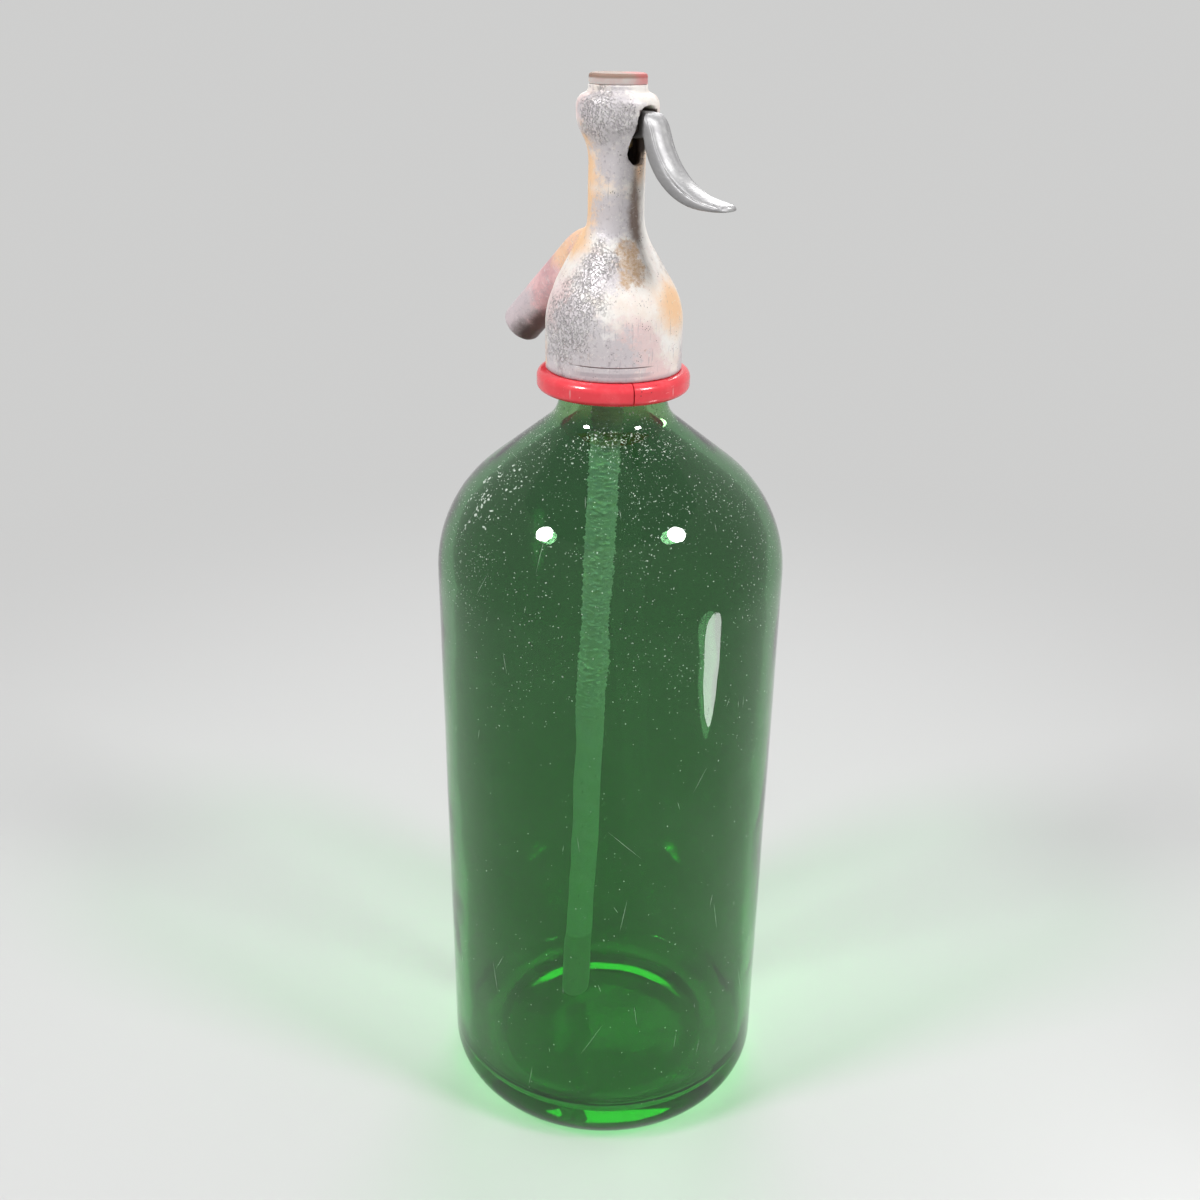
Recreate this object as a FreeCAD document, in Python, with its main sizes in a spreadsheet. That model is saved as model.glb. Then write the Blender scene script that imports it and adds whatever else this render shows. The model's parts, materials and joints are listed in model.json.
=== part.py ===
import FreeCAD, Part
import math
import os
import re

import Sketcher

# A refillable soda siphon: a blown glass bottle, a cast lever head clamped on
# the bottle's finish by a split collar, a dip tube, and a sprung lift valve.
# Millimetres. +Z is up, the lever points along +X, the spout along -X, and
# the origin is the centre of the bottle's base.

# Driving sizes, each one cell of the sheet
SIZES = {
    # bottle
    "glass_radius": 50.0,
    "glass_wall": 4.0,
    "heel_arc": 12.0,
    "inner_heel_arc": 9.0,
    "push_up": 6.0,
    "foot_width": 5.0,
    "floor_height": 9.5,
    "floor_crown": 3.5,
    "floor_margin": 3.0,
    "wall_height": 178.0,
    "shoulder_arc": 38.6,
    "shoulder_slope": 52.0,
    "neck_arc": 8.3,
    "neck_stub": 2.1,
    "neck_bore": 8.7,
    "shank_radius": 12.5,
    "ledge_width": 2.5,
    "bead_width": 1.5,
    "bead_height": 5.5,
    "finish_height": 19.5,
    # split collar
    "glass_gap": 0.2,
    "ring_overhang": 2.45,
    "ring_height": 5.8,
    "ring_crown": 2.35,
    "ring_edge": 1.6,
    "sleeve_wall": 2.5,
    "collar_split": 0.9,
    "collar_turn": -34.7,
    "thread_gap": 0.15,
    # head casting, outside
    "skirt_wall": 1.75,
    "skirt_height": 11.9,
    "bell_arc": 21.5,
    "bell_slope": 31.3,
    "bell_fairing": 16.8,
    "throat_radius": 7.4,
    "throat_length": 12.5,
    "bulb_flare": 13.2,
    "bulb_slope": 28.0,
    "bulb_arc": 9.3,
    "bulb_radius": 10.65,
    "bulb_band": 1.8,
    "rim_radius": 7.55,
    "rim_height": 2.0,
    # head casting, inside
    "gasket_thickness": 2.5,
    "socket_radius": 6.6,
    "socket_depth": 7.0,
    "inlet_bore": 3.2,
    "web_thickness": 1.0,
    "chamber_bore": 4.2,
    "chamber_height": 15.5,
    "upper_bore": 5.3,
    "press_gap": 0.05,
    "running_gap": 0.05,
    # lever and its slot
    "pivot_reach": 7.0,
    "pivot_rise": 8.6,
    "pin_radius": 1.2,
    "slot_half_width": 3.4,
    "slot_below": 9.0,
    "slot_above": 5.2,
    "slot_corner": 3.0,
    "eye_radius": 2.6,
    "root_half_width": 1.9,
    "lever_half_width": 4.3,
    "nose_reach": 6.7,
    "nose_drop": 0.6,
    "nose_radius": 1.2,
    "nose_half_width": 1.7,
    "nose_arm": 0.85,
    "nose_arm_top": 0.4,
    "nose_gap": 0.1,
    "root_top": 4.0,
    "root_out": 2.9,
    "root_arc": 5.0,
    "upper_slope": 20.0,
    "upper_run": 2.6,
    "outer_arc": 21.0,
    "tip_slope": 10.0,
    "tip_reach": 30.3,
    "tip_thickness": 1.7,
    "heel_reach": 4.6,
    "heel_drop": 2.1,
    "inner_slope": 11.0,
    "inner_arc": 19.3,
    "tip_corner": 4.2,
    "root_flare": 0.6,
    "slot_clearance": 0.3,
    "edge_round": 1.6,
    "hollow_shell": 1.5,
    "hollow_rim": 1.3,
    # valve
    "seat_washer_thickness": 0.5,
    "seat_thickness": 2.3,
    "seat_bore": 2.2,
    "seat_lip": 0.7,
    "seat_lip_radius": 3.0,
    "valve_gap": 0.02,
    "washer_radius": 3.2,
    "washer_thickness": 2.4,
    "cup_radius": 3.6,
    "cup_lip": 1.2,
    "cup_thickness": 3.0,
    "screw_radius": 0.9,
    "screw_head_radius": 1.6,
    "screw_head_height": 1.1,
    "screw_grip": 2.4,
    "stem_radius": 1.9,
    "piston_radius": 4.0,
    "window_height": 3.6,
    "window_half_width": 2.0,
    "piston_foot": 2.0,
    "piston_crown": 2.8,
    "guide_radius": 2.2,
    "guide_height": 2.5,
    # stem packing
    "packing_washer_thickness": 1.0,
    "packing_height": 3.4,
    "gland_height": 5.5,
    "gland_slot": 1.4,
    "gland_slot_depth": 1.2,
    # cap and spring
    "cap_radius": 7.45,
    "cap_height": 2.5,
    "cap_edge": 0.9,
    "plug_depth": 5.1,
    "spring_pocket": 4.35,
    "pocket_rise": 0.8,
    "coil_radius": 3.1,
    "wire_radius": 0.35,
    "coils": 4.0,
    # spout
    "spout_radius": 5.75,
    "spout_bore": 2.25,
    "spout_mouth_bore": 3.5,
    "spout_mouth_depth": 14.0,
    "spout_mouth_round": 1.2,
    "spout_height": 6.6,
    "spout_root": 6.6,
    "spout_bend": 7.4,
    "spout_drop": 44.5,
    "spout_run": 32.5,
    "spigot_radius": 3.4,
    "solder_gap": 0.05,
    # dip tube
    "tube_radius": 4.15,
    "tube_bore": 2.25,
    "tube_lean": 2.61,
    "tube_heading": 193.2,
    "tube_entry": 6.0,
    "tube_foot": 8.0,
    "tube_nut_height": 2.4,
    "tube_nut_bore": 4.7,
    # how far a cutting tool runs past what it cuts
    "overrun": 1.0,
}

# Sizes worked out from the ones above, each one cell that holds a formula
WORKED_OUT = {
    # the bottle's finish, and what closes round it
    "neck_radius": "shank_radius + ledge_width",
    "bead_radius": "shank_radius + bead_width",
    "collar_thread": "bead_radius + glass_gap + sleeve_wall",
    "skirt_bore": "collar_thread + thread_gap",
    "skirt_radius": "skirt_bore + skirt_wall",
    "ring_radius": "skirt_radius + ring_overhang",
    # bottle, outside: shoulder curve, straight flank, hollow curve, neck
    "break_radius": "glass_radius - shoulder_arc * (1 - cos(shoulder_slope))",
    "break_z": "wall_height + shoulder_arc * sin(shoulder_slope)",
    "root_radius": "neck_radius + neck_arc * (1 - cos(shoulder_slope))",
    "root_z": "break_z + (break_radius - root_radius) / tan(shoulder_slope)",
    "shoulder_z": "root_z + neck_arc * sin(shoulder_slope)",
    "ledge_z": "shoulder_z + neck_stub",
    # bottle, inside: the same curves moved in by the wall
    "inner_radius": "glass_radius - glass_wall",
    "inner_arc_top": "shoulder_arc - glass_wall",
    "inner_break_radius": "inner_radius - inner_arc_top * (1 - cos(shoulder_slope))",
    "inner_break_z": "wall_height + inner_arc_top * sin(shoulder_slope)",
    "inner_neck_arc": "neck_arc + glass_wall",
    "inner_root_radius": "neck_bore + inner_neck_arc * (1 - cos(shoulder_slope))",
    "inner_root_z": "inner_break_z"
                    " + (inner_break_radius - inner_root_radius) / tan(shoulder_slope)",
    "inner_shoulder_z": "inner_root_z + inner_neck_arc * sin(shoulder_slope)",
    "standing_radius": "glass_radius - heel_arc - foot_width",
    "floor_radius": "inner_radius - inner_heel_arc - floor_margin",
    "dome_arc": "(standing_radius ^ 2 + push_up ^ 2) / (2 * push_up)",
    "floor_arc": "(floor_radius ^ 2 + floor_crown ^ 2) / (2 * floor_crown)",
    # stack of the head on the bottle's finish
    "collar_z": "ledge_z + glass_gap",
    "mouth_z": "collar_z + finish_height",
    "bead_z": "mouth_z - bead_height",
    "skirt_z": "collar_z + ring_height",
    "ceiling_z": "mouth_z + gasket_thickness",
    "socket_z": "ceiling_z + socket_depth",
    "chamber_z": "socket_z + web_thickness",
    "packing_z": "chamber_z + chamber_height",
    # head casting, outside
    "bell_z": "skirt_z + skirt_height",
    "bell_break_radius": "skirt_radius - bell_arc * (1 - cos(bell_slope))",
    "bell_break_z": "bell_z + bell_arc * sin(bell_slope)",
    "bell_root_radius": "throat_radius + bell_fairing * (1 - cos(bell_slope))",
    "bell_root_z": "bell_break_z"
                   " + (bell_break_radius - bell_root_radius) / tan(bell_slope)",
    "throat_z": "bell_root_z + bell_fairing * sin(bell_slope)",
    "bulb_z": "throat_z + throat_length",
    "flare_radius": "throat_radius + bulb_flare * (1 - cos(bulb_slope))",
    "flare_z": "bulb_z + bulb_flare * sin(bulb_slope)",
    "belly_radius": "bulb_radius - bulb_arc * (1 - cos(bulb_slope))",
    "belly_z": "flare_z + (belly_radius - flare_radius) / tan(bulb_slope)",
    "band_z": "belly_z + bulb_arc * sin(bulb_slope)",
    "crown_z": "band_z + bulb_band",
    "crown_arc": "bulb_radius - rim_radius",
    "rim_z": "crown_z + crown_arc",
    "cap_z": "rim_z + rim_height",
    "pivot_z": "bulb_z + pivot_rise",
    # valve stack
    "seat_z": "chamber_z + seat_washer_thickness",
    "seat_face_z": "seat_z + seat_thickness + seat_lip",
    "washer_z": "seat_face_z + valve_gap",
    "cup_z": "washer_z + washer_thickness",
    "nose_z": "pivot_z - nose_drop",
    "window_z": "nose_z + nose_radius + nose_gap - window_height",
    "window_top_z": "window_z + window_height",
    "piston_z": "window_z - piston_foot",
    "piston_top_z": "window_top_z + piston_crown",
    "gland_z": "packing_z + packing_washer_thickness + packing_height",
    "pocket_z": "cap_z + pocket_rise",
    # lever, outer face: root arc, upper run, long arc, tip run
    "lever_top_z": "pivot_z + root_top",
    "outer_a_x": "pivot_reach + root_out + root_arc * cos(upper_slope)",
    "outer_a_z": "lever_top_z - root_arc + root_arc * sin(upper_slope)",
    "outer_b_x": "outer_a_x + upper_run * sin(upper_slope)",
    "outer_b_z": "outer_a_z - upper_run * cos(upper_slope)",
    "outer_c_x": "outer_b_x + outer_arc * (cos(upper_slope) - sin(tip_slope))",
    "outer_c_z": "outer_b_z - outer_arc * (cos(tip_slope) - sin(upper_slope))",
    "tip_x": "pivot_reach + tip_reach",
    "tip_z": "outer_c_z - (tip_x - tip_thickness / 2 - outer_c_x) * tan(tip_slope)",
    # lever, inner face
    "inner_b_x": "pivot_reach + heel_reach",
    "inner_b_z": "pivot_z - heel_drop",
    "inner_c_x": "inner_b_x + inner_arc * cos(inner_slope)",
    "inner_c_z": "inner_b_z - inner_arc * (1 - sin(inner_slope))",
    # spout
    "spout_z": "chamber_z + spout_height",
    "bend_x": "-spout_root - spout_bend * sin(spout_drop)",
    "bend_z": "spout_z - spout_bend * (1 - cos(spout_drop))",
    "mouth_x": "bend_x - spout_run * cos(spout_drop)",
    "spout_end_z": "bend_z - spout_run * sin(spout_drop)",
    "inner_mouth_x": "mouth_x + spout_mouth_depth * cos(spout_drop)",
    "inner_mouth_z": "spout_end_z + spout_mouth_depth * sin(spout_drop)",
    # dip tube
    "tube_top_z": "ceiling_z + tube_entry",
    "tube_length": "(tube_top_z - floor_height - tube_foot) / cos(tube_lean)",
}

doc = FreeCAD.newDocument("soda_siphon")
sheet = doc.addObject("Spreadsheet::Sheet", "Sizes")
siphon_parts = []


# ---------------------------------------------------------------- helpers

def fill_sheet():
    """Puts each size in a cell of its own, with its name as the alias."""
    cells = {name: str(number) for name, number in SIZES.items()}
    cells.update({name: "=" + formula for name, formula in WORKED_OUT.items()})
    for row, (name, content) in enumerate(cells.items(), start=1):
        sheet.set("A%d" % row, name.replace("_", " "))
        sheet.setAlias("B%d" % row, name)
        sheet.set("B%d" % row, content)
    doc.recompute()


def bound(formula):
    """Writes a formula so that it reads its sizes from the sheet."""
    def cell(match):
        word = match.group()
        return "Sizes." + word if word in SIZES or word in WORKED_OUT else word
    return re.sub(r"[a-z][a-z_]*", cell, formula)


def number(formula):
    return float(sheet.evalExpression(bound(formula)))


def body(label):
    """Starts a sub-part that is built from features."""
    new = doc.addObject("PartDesign::Body", label)
    new.Label = label
    siphon_parts.append(new)
    return new


def sketch_on(owner, plane, name):
    sketch = owner.newObject("Sketcher::SketchObject", name)
    role = plane + "_Plane"
    support = [item for item in owner.Origin.OriginFeatures if item.Role == role]
    sketch.AttachmentSupport = [(support[0], "")]
    sketch.MapMode = "FlatFace"
    return sketch


def pin_down(sketch, kind, place, name, formula):
    """Adds one dimension to a sketch and binds it to the sheet."""
    index = sketch.addConstraint(Sketcher.Constraint(kind, *place, number(formula)))
    sketch.renameConstraint(index, name)
    sketch.setExpression("Constraints." + name, bound(formula))


def arc_between(start, end, radius, turn):
    """The shorter arc from start to end that turns left or right."""
    chord = end - start
    rise = math.sqrt(max(radius ** 2 - (chord.Length / 2) ** 2, 0.0))
    left = FreeCAD.Vector(-chord.y, chord.x, 0).normalize()
    side = 1 if turn == "left" else -1
    centre = (start + end) / 2 + left * rise * side
    circle = Part.Circle(centre, FreeCAD.Vector(0, 0, 1), radius)
    first, last = (start, end) if turn == "left" else (end, start)
    angles = [math.atan2(p.y - centre.y, p.x - centre.x) for p in (first, last)]
    return Part.ArcOfCircle(circle, *angles)


def draw(sketch, path, closed=True):
    """Draws corners, given as a pair of formulas, joined by straight edges.

    A step ("left" or "right", radius) between two corners makes that edge an
    arc, turning that way as the outline is followed.
    """
    corners = [step for step in path if step[0] not in ("left", "right")]
    points = [FreeCAD.Vector(number(x), number(y), 0) for x, y in corners]
    bends = {}
    passed = 0
    for step in path:
        if step[0] in ("left", "right"):
            bends[passed - 1] = step
        else:
            passed += 1
    count = len(points) if closed else len(points) - 1
    ends = []
    for i in range(count):
        start, end = points[i], points[(i + 1) % len(points)]
        if i in bends:
            turn, radius = bends[i]
            edge = sketch.addGeometry(arc_between(start, end, number(radius), turn))
            pin_down(sketch, "Radius", (edge,), "arc_%d" % i, radius)
            ends.append((1, 2) if turn == "left" else (2, 1))
        else:
            edge = sketch.addGeometry(Part.LineSegment(start, end))
            ends.append((1, 2))
    for i in range(count if closed else count - 1):
        after = (i + 1) % count
        sketch.addConstraint(
            Sketcher.Constraint("Coincident", i, ends[i][1], after, ends[after][0]))
    for i, (x, y) in enumerate(corners):
        place = (i, ends[i][0]) if i < count else (i - 1, ends[i - 1][1])
        pin_down(sketch, "DistanceX", (-1, 1) + place, "x_%d" % i, x)
        pin_down(sketch, "DistanceY", (-1, 1) + place, "y_%d" % i, y)
    return sketch


def outline(owner, plane, name, path, closed=True):
    return draw(sketch_on(owner, plane, name), path, closed)


def circle(owner, plane, name, x, y, radius):
    sketch = sketch_on(owner, plane, name)
    centre = FreeCAD.Vector(number(x), number(y), 0)
    up = FreeCAD.Vector(0, 0, 1)
    ring = sketch.addGeometry(Part.Circle(centre, up, number(radius)))
    pin_down(sketch, "Radius", (ring,), "radius", radius)
    pin_down(sketch, "DistanceX", (-1, 1, ring, 3), "x", x)
    pin_down(sketch, "DistanceY", (-1, 1, ring, 3), "y", y)
    return sketch


def block(low_x, high_x, low_y, high_y):
    """The corners of a rectangle."""
    return [(low_x, low_y), (high_x, low_y), (high_x, high_y), (low_x, high_y)]


def revolve(owner, sketch, cut=False):
    """Turns an outline about the upright axis, as solid or as a cut."""
    kind = "PartDesign::Groove" if cut else "PartDesign::Revolution"
    turned = owner.newObject(kind, owner.Label + ("_groove" if cut else "_turned"))
    turned.Profile = sketch
    turned.ReferenceAxis = (sketch, ["V_Axis"])
    turned.Angle = 360
    return settle(owner, cut)


def pad(owner, sketch, half_width):
    """Thickens an outline evenly to both sides of its plane."""
    solid = owner.newObject("PartDesign::Pad", "pad")
    solid.Profile = sketch
    solid.Midplane = True
    solid.setExpression("Length", bound("2 * (%s)" % half_width))
    return settle(owner)


def pocket(owner, sketch, length=None, both_ways=False, backwards=False):
    """Cuts an outline out of the solid, right through or to a length."""
    hole = owner.newObject("PartDesign::Pocket", "pocket")
    hole.Profile = sketch
    if length:
        hole.setExpression("Length", bound(length))
    else:
        hole.Type = "ThroughAll"
    hole.Midplane = both_ways
    hole.Reversed = backwards
    return settle(owner, True)


def settle(owner, cut=False):
    """Recomputes the body and makes sure that its last cut took something away."""
    feature = owner.Tip
    before = feature.BaseFeature
    doc.recompute()
    if cut and not feature.Shape.Volume < before.Shape.Volume - 1e-3:
        raise ValueError(owner.Label + ": " + feature.Name + " cuts nothing")
    return feature


def fillet(owner, radius, chosen):
    """Rounds the edges of the body that the test picks."""
    base = owner.Tip
    names = ["Edge%d" % (i + 1) for i, edge in enumerate(base.Shape.Edges) if chosen(edge)]
    if not names:
        raise ValueError(owner.Label + ": no edge to round")
    rounding = owner.newObject("PartDesign::Fillet", "fillet")
    rounding.Base = (base, names)
    rounding.setExpression("Radius", bound(radius))
    return settle(owner)


def ring(label, bore, outside, low, high):
    """A plain turned ring."""
    owner = body(label)
    revolve(owner, outline(owner, "XZ", label + "_section",
                           block(bore, outside, low, high)))
    return owner


# ---------------------------------------------------------------- bottle

def glass_bottle():
    """Thick blown bottle with a pushed-up base, a round shoulder and a beaded mouth."""
    owner = body("glass_bottle")
    revolve(owner, outline(owner, "XZ", "bottle_section", [
        ("0", "push_up"),
        ("right", "dome_arc"),
        ("standing_radius", "0"),
        ("glass_radius - heel_arc", "0"),
        ("left", "heel_arc"),
        ("glass_radius", "heel_arc"),
        ("glass_radius", "wall_height"),
        ("left", "shoulder_arc"),
        ("break_radius", "break_z"),
        ("root_radius", "root_z"),
        ("right", "neck_arc"),
        ("neck_radius", "shoulder_z"),
        ("neck_radius", "ledge_z"),
        ("shank_radius", "ledge_z"),
        ("shank_radius", "bead_z"),
        ("bead_radius", "bead_z"),
        ("bead_radius", "mouth_z"),
        ("neck_bore", "mouth_z"),
        ("neck_bore", "inner_shoulder_z"),
        ("left", "inner_neck_arc"),
        ("inner_root_radius", "inner_root_z"),
        ("inner_break_radius", "inner_break_z"),
        ("right", "inner_arc_top"),
        ("inner_radius", "wall_height"),
        ("inner_radius", "floor_height + inner_heel_arc"),
        ("right", "inner_heel_arc"),
        ("inner_radius - inner_heel_arc", "floor_height"),
        ("floor_radius", "floor_height"),
        ("left", "floor_arc"),
        ("0", "floor_height + floor_crown"),
    ]))


def collar_half(label, quarter_turn):
    """One half of the moulded split collar: flange below, threaded sleeve above."""
    owner = body(label)
    section = outline(owner, "XZ", label + "_section", [
        ("shank_radius + glass_gap", "collar_z"),
        ("ring_radius - ring_edge", "collar_z"),
        ("left", "ring_edge"),
        ("ring_radius", "collar_z + ring_edge"),
        ("ring_radius", "skirt_z - ring_crown"),
        ("left", "ring_crown"),
        ("ring_radius - ring_crown", "skirt_z"),
        ("collar_thread", "skirt_z"),
        ("collar_thread", "mouth_z - glass_gap"),
        ("bead_radius + glass_gap", "mouth_z - glass_gap"),
        ("bead_radius + glass_gap", "bead_z - glass_gap"),
        ("shank_radius + glass_gap", "bead_z - glass_gap"),
    ])
    half = owner.newObject("PartDesign::Revolution", label + "_turned")
    half.Profile = section
    half.ReferenceAxis = (section, ["V_Axis"])
    half.Midplane = True
    half.setExpression("Angle", bound("180 - collar_split"))
    owner.Placement = FreeCAD.Placement(
        FreeCAD.Vector(), FreeCAD.Rotation(FreeCAD.Vector(0, 0, 1), 1))
    owner.setExpression("Placement.Rotation.Angle",
                        bound("collar_turn + %d" % quarter_turn))
    doc.recompute()


# ---------------------------------------------------------------- head casting

def bell_outside():
    """The head's outer corners, from the skirt's edge to the top of the throat."""
    return [
        ("skirt_radius", "skirt_z"),
        ("skirt_radius", "bell_z"),
        ("left", "bell_arc"),
        ("bell_break_radius", "bell_break_z"),
        ("bell_root_radius", "bell_root_z"),
        ("right", "bell_fairing"),
        ("throat_radius", "throat_z"),
        ("throat_radius", "bulb_z"),
    ]


def bulb_outside():
    """The head's outer corners above the throat, up to the crown."""
    return [
        ("right", "bulb_flare"),
        ("flare_radius", "flare_z"),
        ("belly_radius", "belly_z"),
        ("left", "bulb_arc"),
        ("bulb_radius", "band_z"),
        ("bulb_radius", "crown_z"),
    ]


def head_casting():
    """Bell, throat and bulb in one casting, bored from both ends."""
    owner = body("head_casting")
    revolve(owner, outline(owner, "XZ", "head_section", bell_outside() + bulb_outside() + [
        ("left", "crown_arc"),
        ("rim_radius", "rim_z"),
        ("rim_radius", "cap_z"),
        ("upper_bore", "cap_z"),
        ("upper_bore", "packing_z"),
        ("chamber_bore", "packing_z"),
        ("chamber_bore", "chamber_z"),
        ("inlet_bore", "chamber_z"),
        ("inlet_bore", "socket_z"),
        ("socket_radius", "socket_z"),
        ("socket_radius", "ceiling_z"),
        ("skirt_bore", "ceiling_z"),
        ("skirt_bore", "skirt_z"),
    ]))
    lever_slot(owner)
    pin_hole = circle(owner, "XZ", "pin_hole", "pivot_reach", "pivot_z",
                      "pin_radius + press_gap / 2")
    pocket(owner, pin_hole, both_ways=True)
    spigot_hole = circle(owner, "YZ", "spigot_hole", "0", "spout_z",
                         "spigot_radius + solder_gap")
    pocket(owner, spigot_hole, "skirt_radius")
    spout_way(owner)


def lever_slot(owner):
    """Upright slot through the bulb's lever side, round at its ends."""
    low, high = "pivot_z - slot_below", "pivot_z + slot_above"
    window = outline(owner, "YZ", "slot_face", [
        ("-slot_half_width + slot_corner", low),
        ("slot_half_width - slot_corner", low),
        ("left", "slot_corner"),
        ("slot_half_width", low + " + slot_corner"),
        ("slot_half_width", high + " - slot_corner"),
        ("left", "slot_corner"),
        ("slot_half_width - slot_corner", high),
        ("-slot_half_width + slot_corner", high),
        ("left", "slot_corner"),
        ("-slot_half_width", high + " - slot_corner"),
        ("-slot_half_width", low + " + slot_corner"),
        ("left", "slot_corner"),
    ])
    pocket(owner, window, "2 * bulb_radius", backwards=True)


# ---------------------------------------------------------------- seals and tube

def tube_cylinder(name, radius, low, high):
    """A leaning cylinder on the dip tube's axis, between two distances down it."""
    rod = doc.addObject("Part::Cylinder", name)
    rod.setExpression("Radius", bound(radius))
    rod.setExpression("Height", bound("(%s) - (%s)" % (low, high)))
    heading = math.radians(number("tube_heading"))
    axis = FreeCAD.Vector(math.sin(heading), -math.cos(heading), 0)
    rod.Placement = FreeCAD.Placement(FreeCAD.Vector(), FreeCAD.Rotation(axis, 1))
    rod.setExpression("Placement.Rotation.Angle", bound("tube_lean"))
    reach = "(%s) * sin(tube_lean)" % low
    rod.setExpression("Placement.Base.x", bound(reach + " * cos(tube_heading)"))
    rod.setExpression("Placement.Base.y", bound(reach + " * sin(tube_heading)"))
    rod.setExpression("Placement.Base.z",
                      bound("tube_top_z - (%s) * cos(tube_lean)" % low))
    return rod


def cut_part(label, base, tool):
    """A sub-part that is one solid less another."""
    cut = doc.addObject("Part::Cut", label)
    cut.Label = label
    cut.Base = base
    cut.Tool = tool
    siphon_parts.append(cut)
    doc.recompute()


def dip_tube():
    """Straight thick-walled tube that leans from the head to the bottle's heel."""
    cut_part("dip_tube",
             tube_cylinder("tube_outside", "tube_radius", "tube_length", "0"),
             tube_cylinder("tube_inside", "tube_bore", "tube_length + overrun", "-overrun"))


def tube_bush():
    """Rubber bush that holds the leaning tube in the head's socket."""
    plug = doc.addObject("Part::Cylinder", "bush_outside")
    plug.setExpression("Radius", bound("socket_radius - press_gap"))
    plug.setExpression("Height", bound("socket_depth - tube_nut_height"))
    plug.setExpression("Placement.Base.z", bound("ceiling_z + tube_nut_height"))
    cut_part("tube_bush", plug,
             tube_cylinder("bush_bore", "tube_radius + press_gap",
                           "tube_entry", "-socket_depth"))


# ---------------------------------------------------------------- valve

def valve_seat():
    """Brass seat with a raised lip round its bore."""
    owner = body("valve_seat")
    lip = "(seat_lip_radius - seat_bore) / 4"
    revolve(owner, outline(owner, "XZ", "seat_section", [
        ("seat_bore", "seat_z"),
        ("chamber_bore - press_gap", "seat_z"),
        ("chamber_bore - press_gap", "seat_z + seat_thickness"),
        ("seat_lip_radius", "seat_z + seat_thickness"),
        ("seat_lip_radius - " + lip, "seat_face_z"),
        ("seat_bore + " + lip, "seat_face_z"),
        ("seat_bore", "seat_face_z - " + lip),
    ]))


def washer_cup():
    """Brass cup that grips the valve washer's edge."""
    owner = body("washer_cup")
    revolve(owner, outline(owner, "XZ", "cup_section", [
        ("stem_radius + press_gap", "cup_z"),
        ("washer_radius + press_gap", "cup_z"),
        ("washer_radius + press_gap", "cup_z - cup_lip"),
        ("cup_radius", "cup_z - cup_lip"),
        ("cup_radius", "cup_z + cup_thickness / 2"),
        ("cup_radius - cup_thickness / 2", "cup_z + cup_thickness"),
        ("stem_radius + press_gap", "cup_z + cup_thickness"),
    ]))


def washer_screw():
    """Round-headed screw that holds the washer to the stem."""
    owner = body("washer_screw")
    head_z = "washer_z - screw_head_height"
    revolve(owner, outline(owner, "XZ", "screw_section", [
        ("0", head_z),
        ("screw_head_radius - screw_head_height / 2", head_z),
        ("screw_head_radius", head_z + " + screw_head_height / 2"),
        ("screw_head_radius", "washer_z"),
        ("screw_radius", "washer_z"),
        ("screw_radius", "cup_z + screw_grip"),
        ("0", "cup_z + screw_grip"),
    ]))
    slot = outline(owner, "XZ", "driver_slot", block(
        "-screw_radius / 3", "screw_radius / 3", head_z, head_z + " + screw_head_height / 2"))
    pocket(owner, slot, both_ways=True)


def valve_stem():
    """Stem with a windowed piston above, which the lever's nose lifts."""
    owner = body("valve_stem")
    revolve(owner, outline(owner, "XZ", "stem_section", [
        ("0", "cup_z + screw_grip + press_gap"),
        ("screw_radius + press_gap", "cup_z + screw_grip + press_gap"),
        ("screw_radius + press_gap", "cup_z"),
        ("stem_radius", "cup_z"),
        ("stem_radius", "piston_z - stem_radius"),
        ("piston_radius", "piston_z"),
        ("piston_radius", "piston_top_z"),
        ("guide_radius", "piston_top_z"),
        ("guide_radius", "piston_top_z + guide_height"),
        ("0", "piston_top_z + guide_height"),
    ]))
    window = outline(owner, "YZ", "window", block(
        "-window_half_width", "window_half_width", "window_z", "window_top_z"))
    pocket(owner, window, both_ways=True)


def gland_nut():
    """Screwed ring that squeezes the stem packing, slotted for a key."""
    owner = ring("gland_nut", "stem_radius + running_gap", "upper_bore - press_gap",
                 "gland_z", "gland_z + gland_height")
    slot = outline(owner, "XZ", "key_slot", block(
        "-gland_slot / 2", "gland_slot / 2",
        "gland_z + gland_height - gland_slot_depth", "gland_z + gland_height"))
    pocket(owner, slot, both_ways=True)


def stem_spring():
    """Open coil spring between the piston and the cap."""
    owner = body("stem_spring")
    wire = circle(owner, "XZ", "wire", "coil_radius", "piston_top_z + wire_radius",
                  "wire_radius")
    coil = owner.newObject("PartDesign::AdditiveHelix", "coil")
    coil.Profile = wire
    coil.ReferenceAxis = (wire, ["V_Axis"])
    coil.Mode = "height-turns-angle"
    coil.setExpression("Height", bound("pocket_z - piston_top_z - 2 * wire_radius"))
    coil.setExpression("Turns", bound("coils"))
    doc.recompute()


def top_cap():
    """Moulded screw cap with a hollow plug for the spring."""
    owner = body("top_cap")
    revolve(owner, outline(owner, "XZ", "cap_section", [
        ("0", "cap_z + cap_height"),
        ("0", "pocket_z"),
        ("spring_pocket", "pocket_z"),
        ("spring_pocket", "cap_z - plug_depth"),
        ("upper_bore - press_gap", "cap_z - plug_depth"),
        ("upper_bore - press_gap", "cap_z"),
        ("cap_radius", "cap_z"),
        ("cap_radius", "cap_z + cap_height - cap_edge"),
        ("left", "cap_edge"),
        ("cap_radius - cap_edge", "cap_z + cap_height"),
    ]))


# ---------------------------------------------------------------- lever

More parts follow.
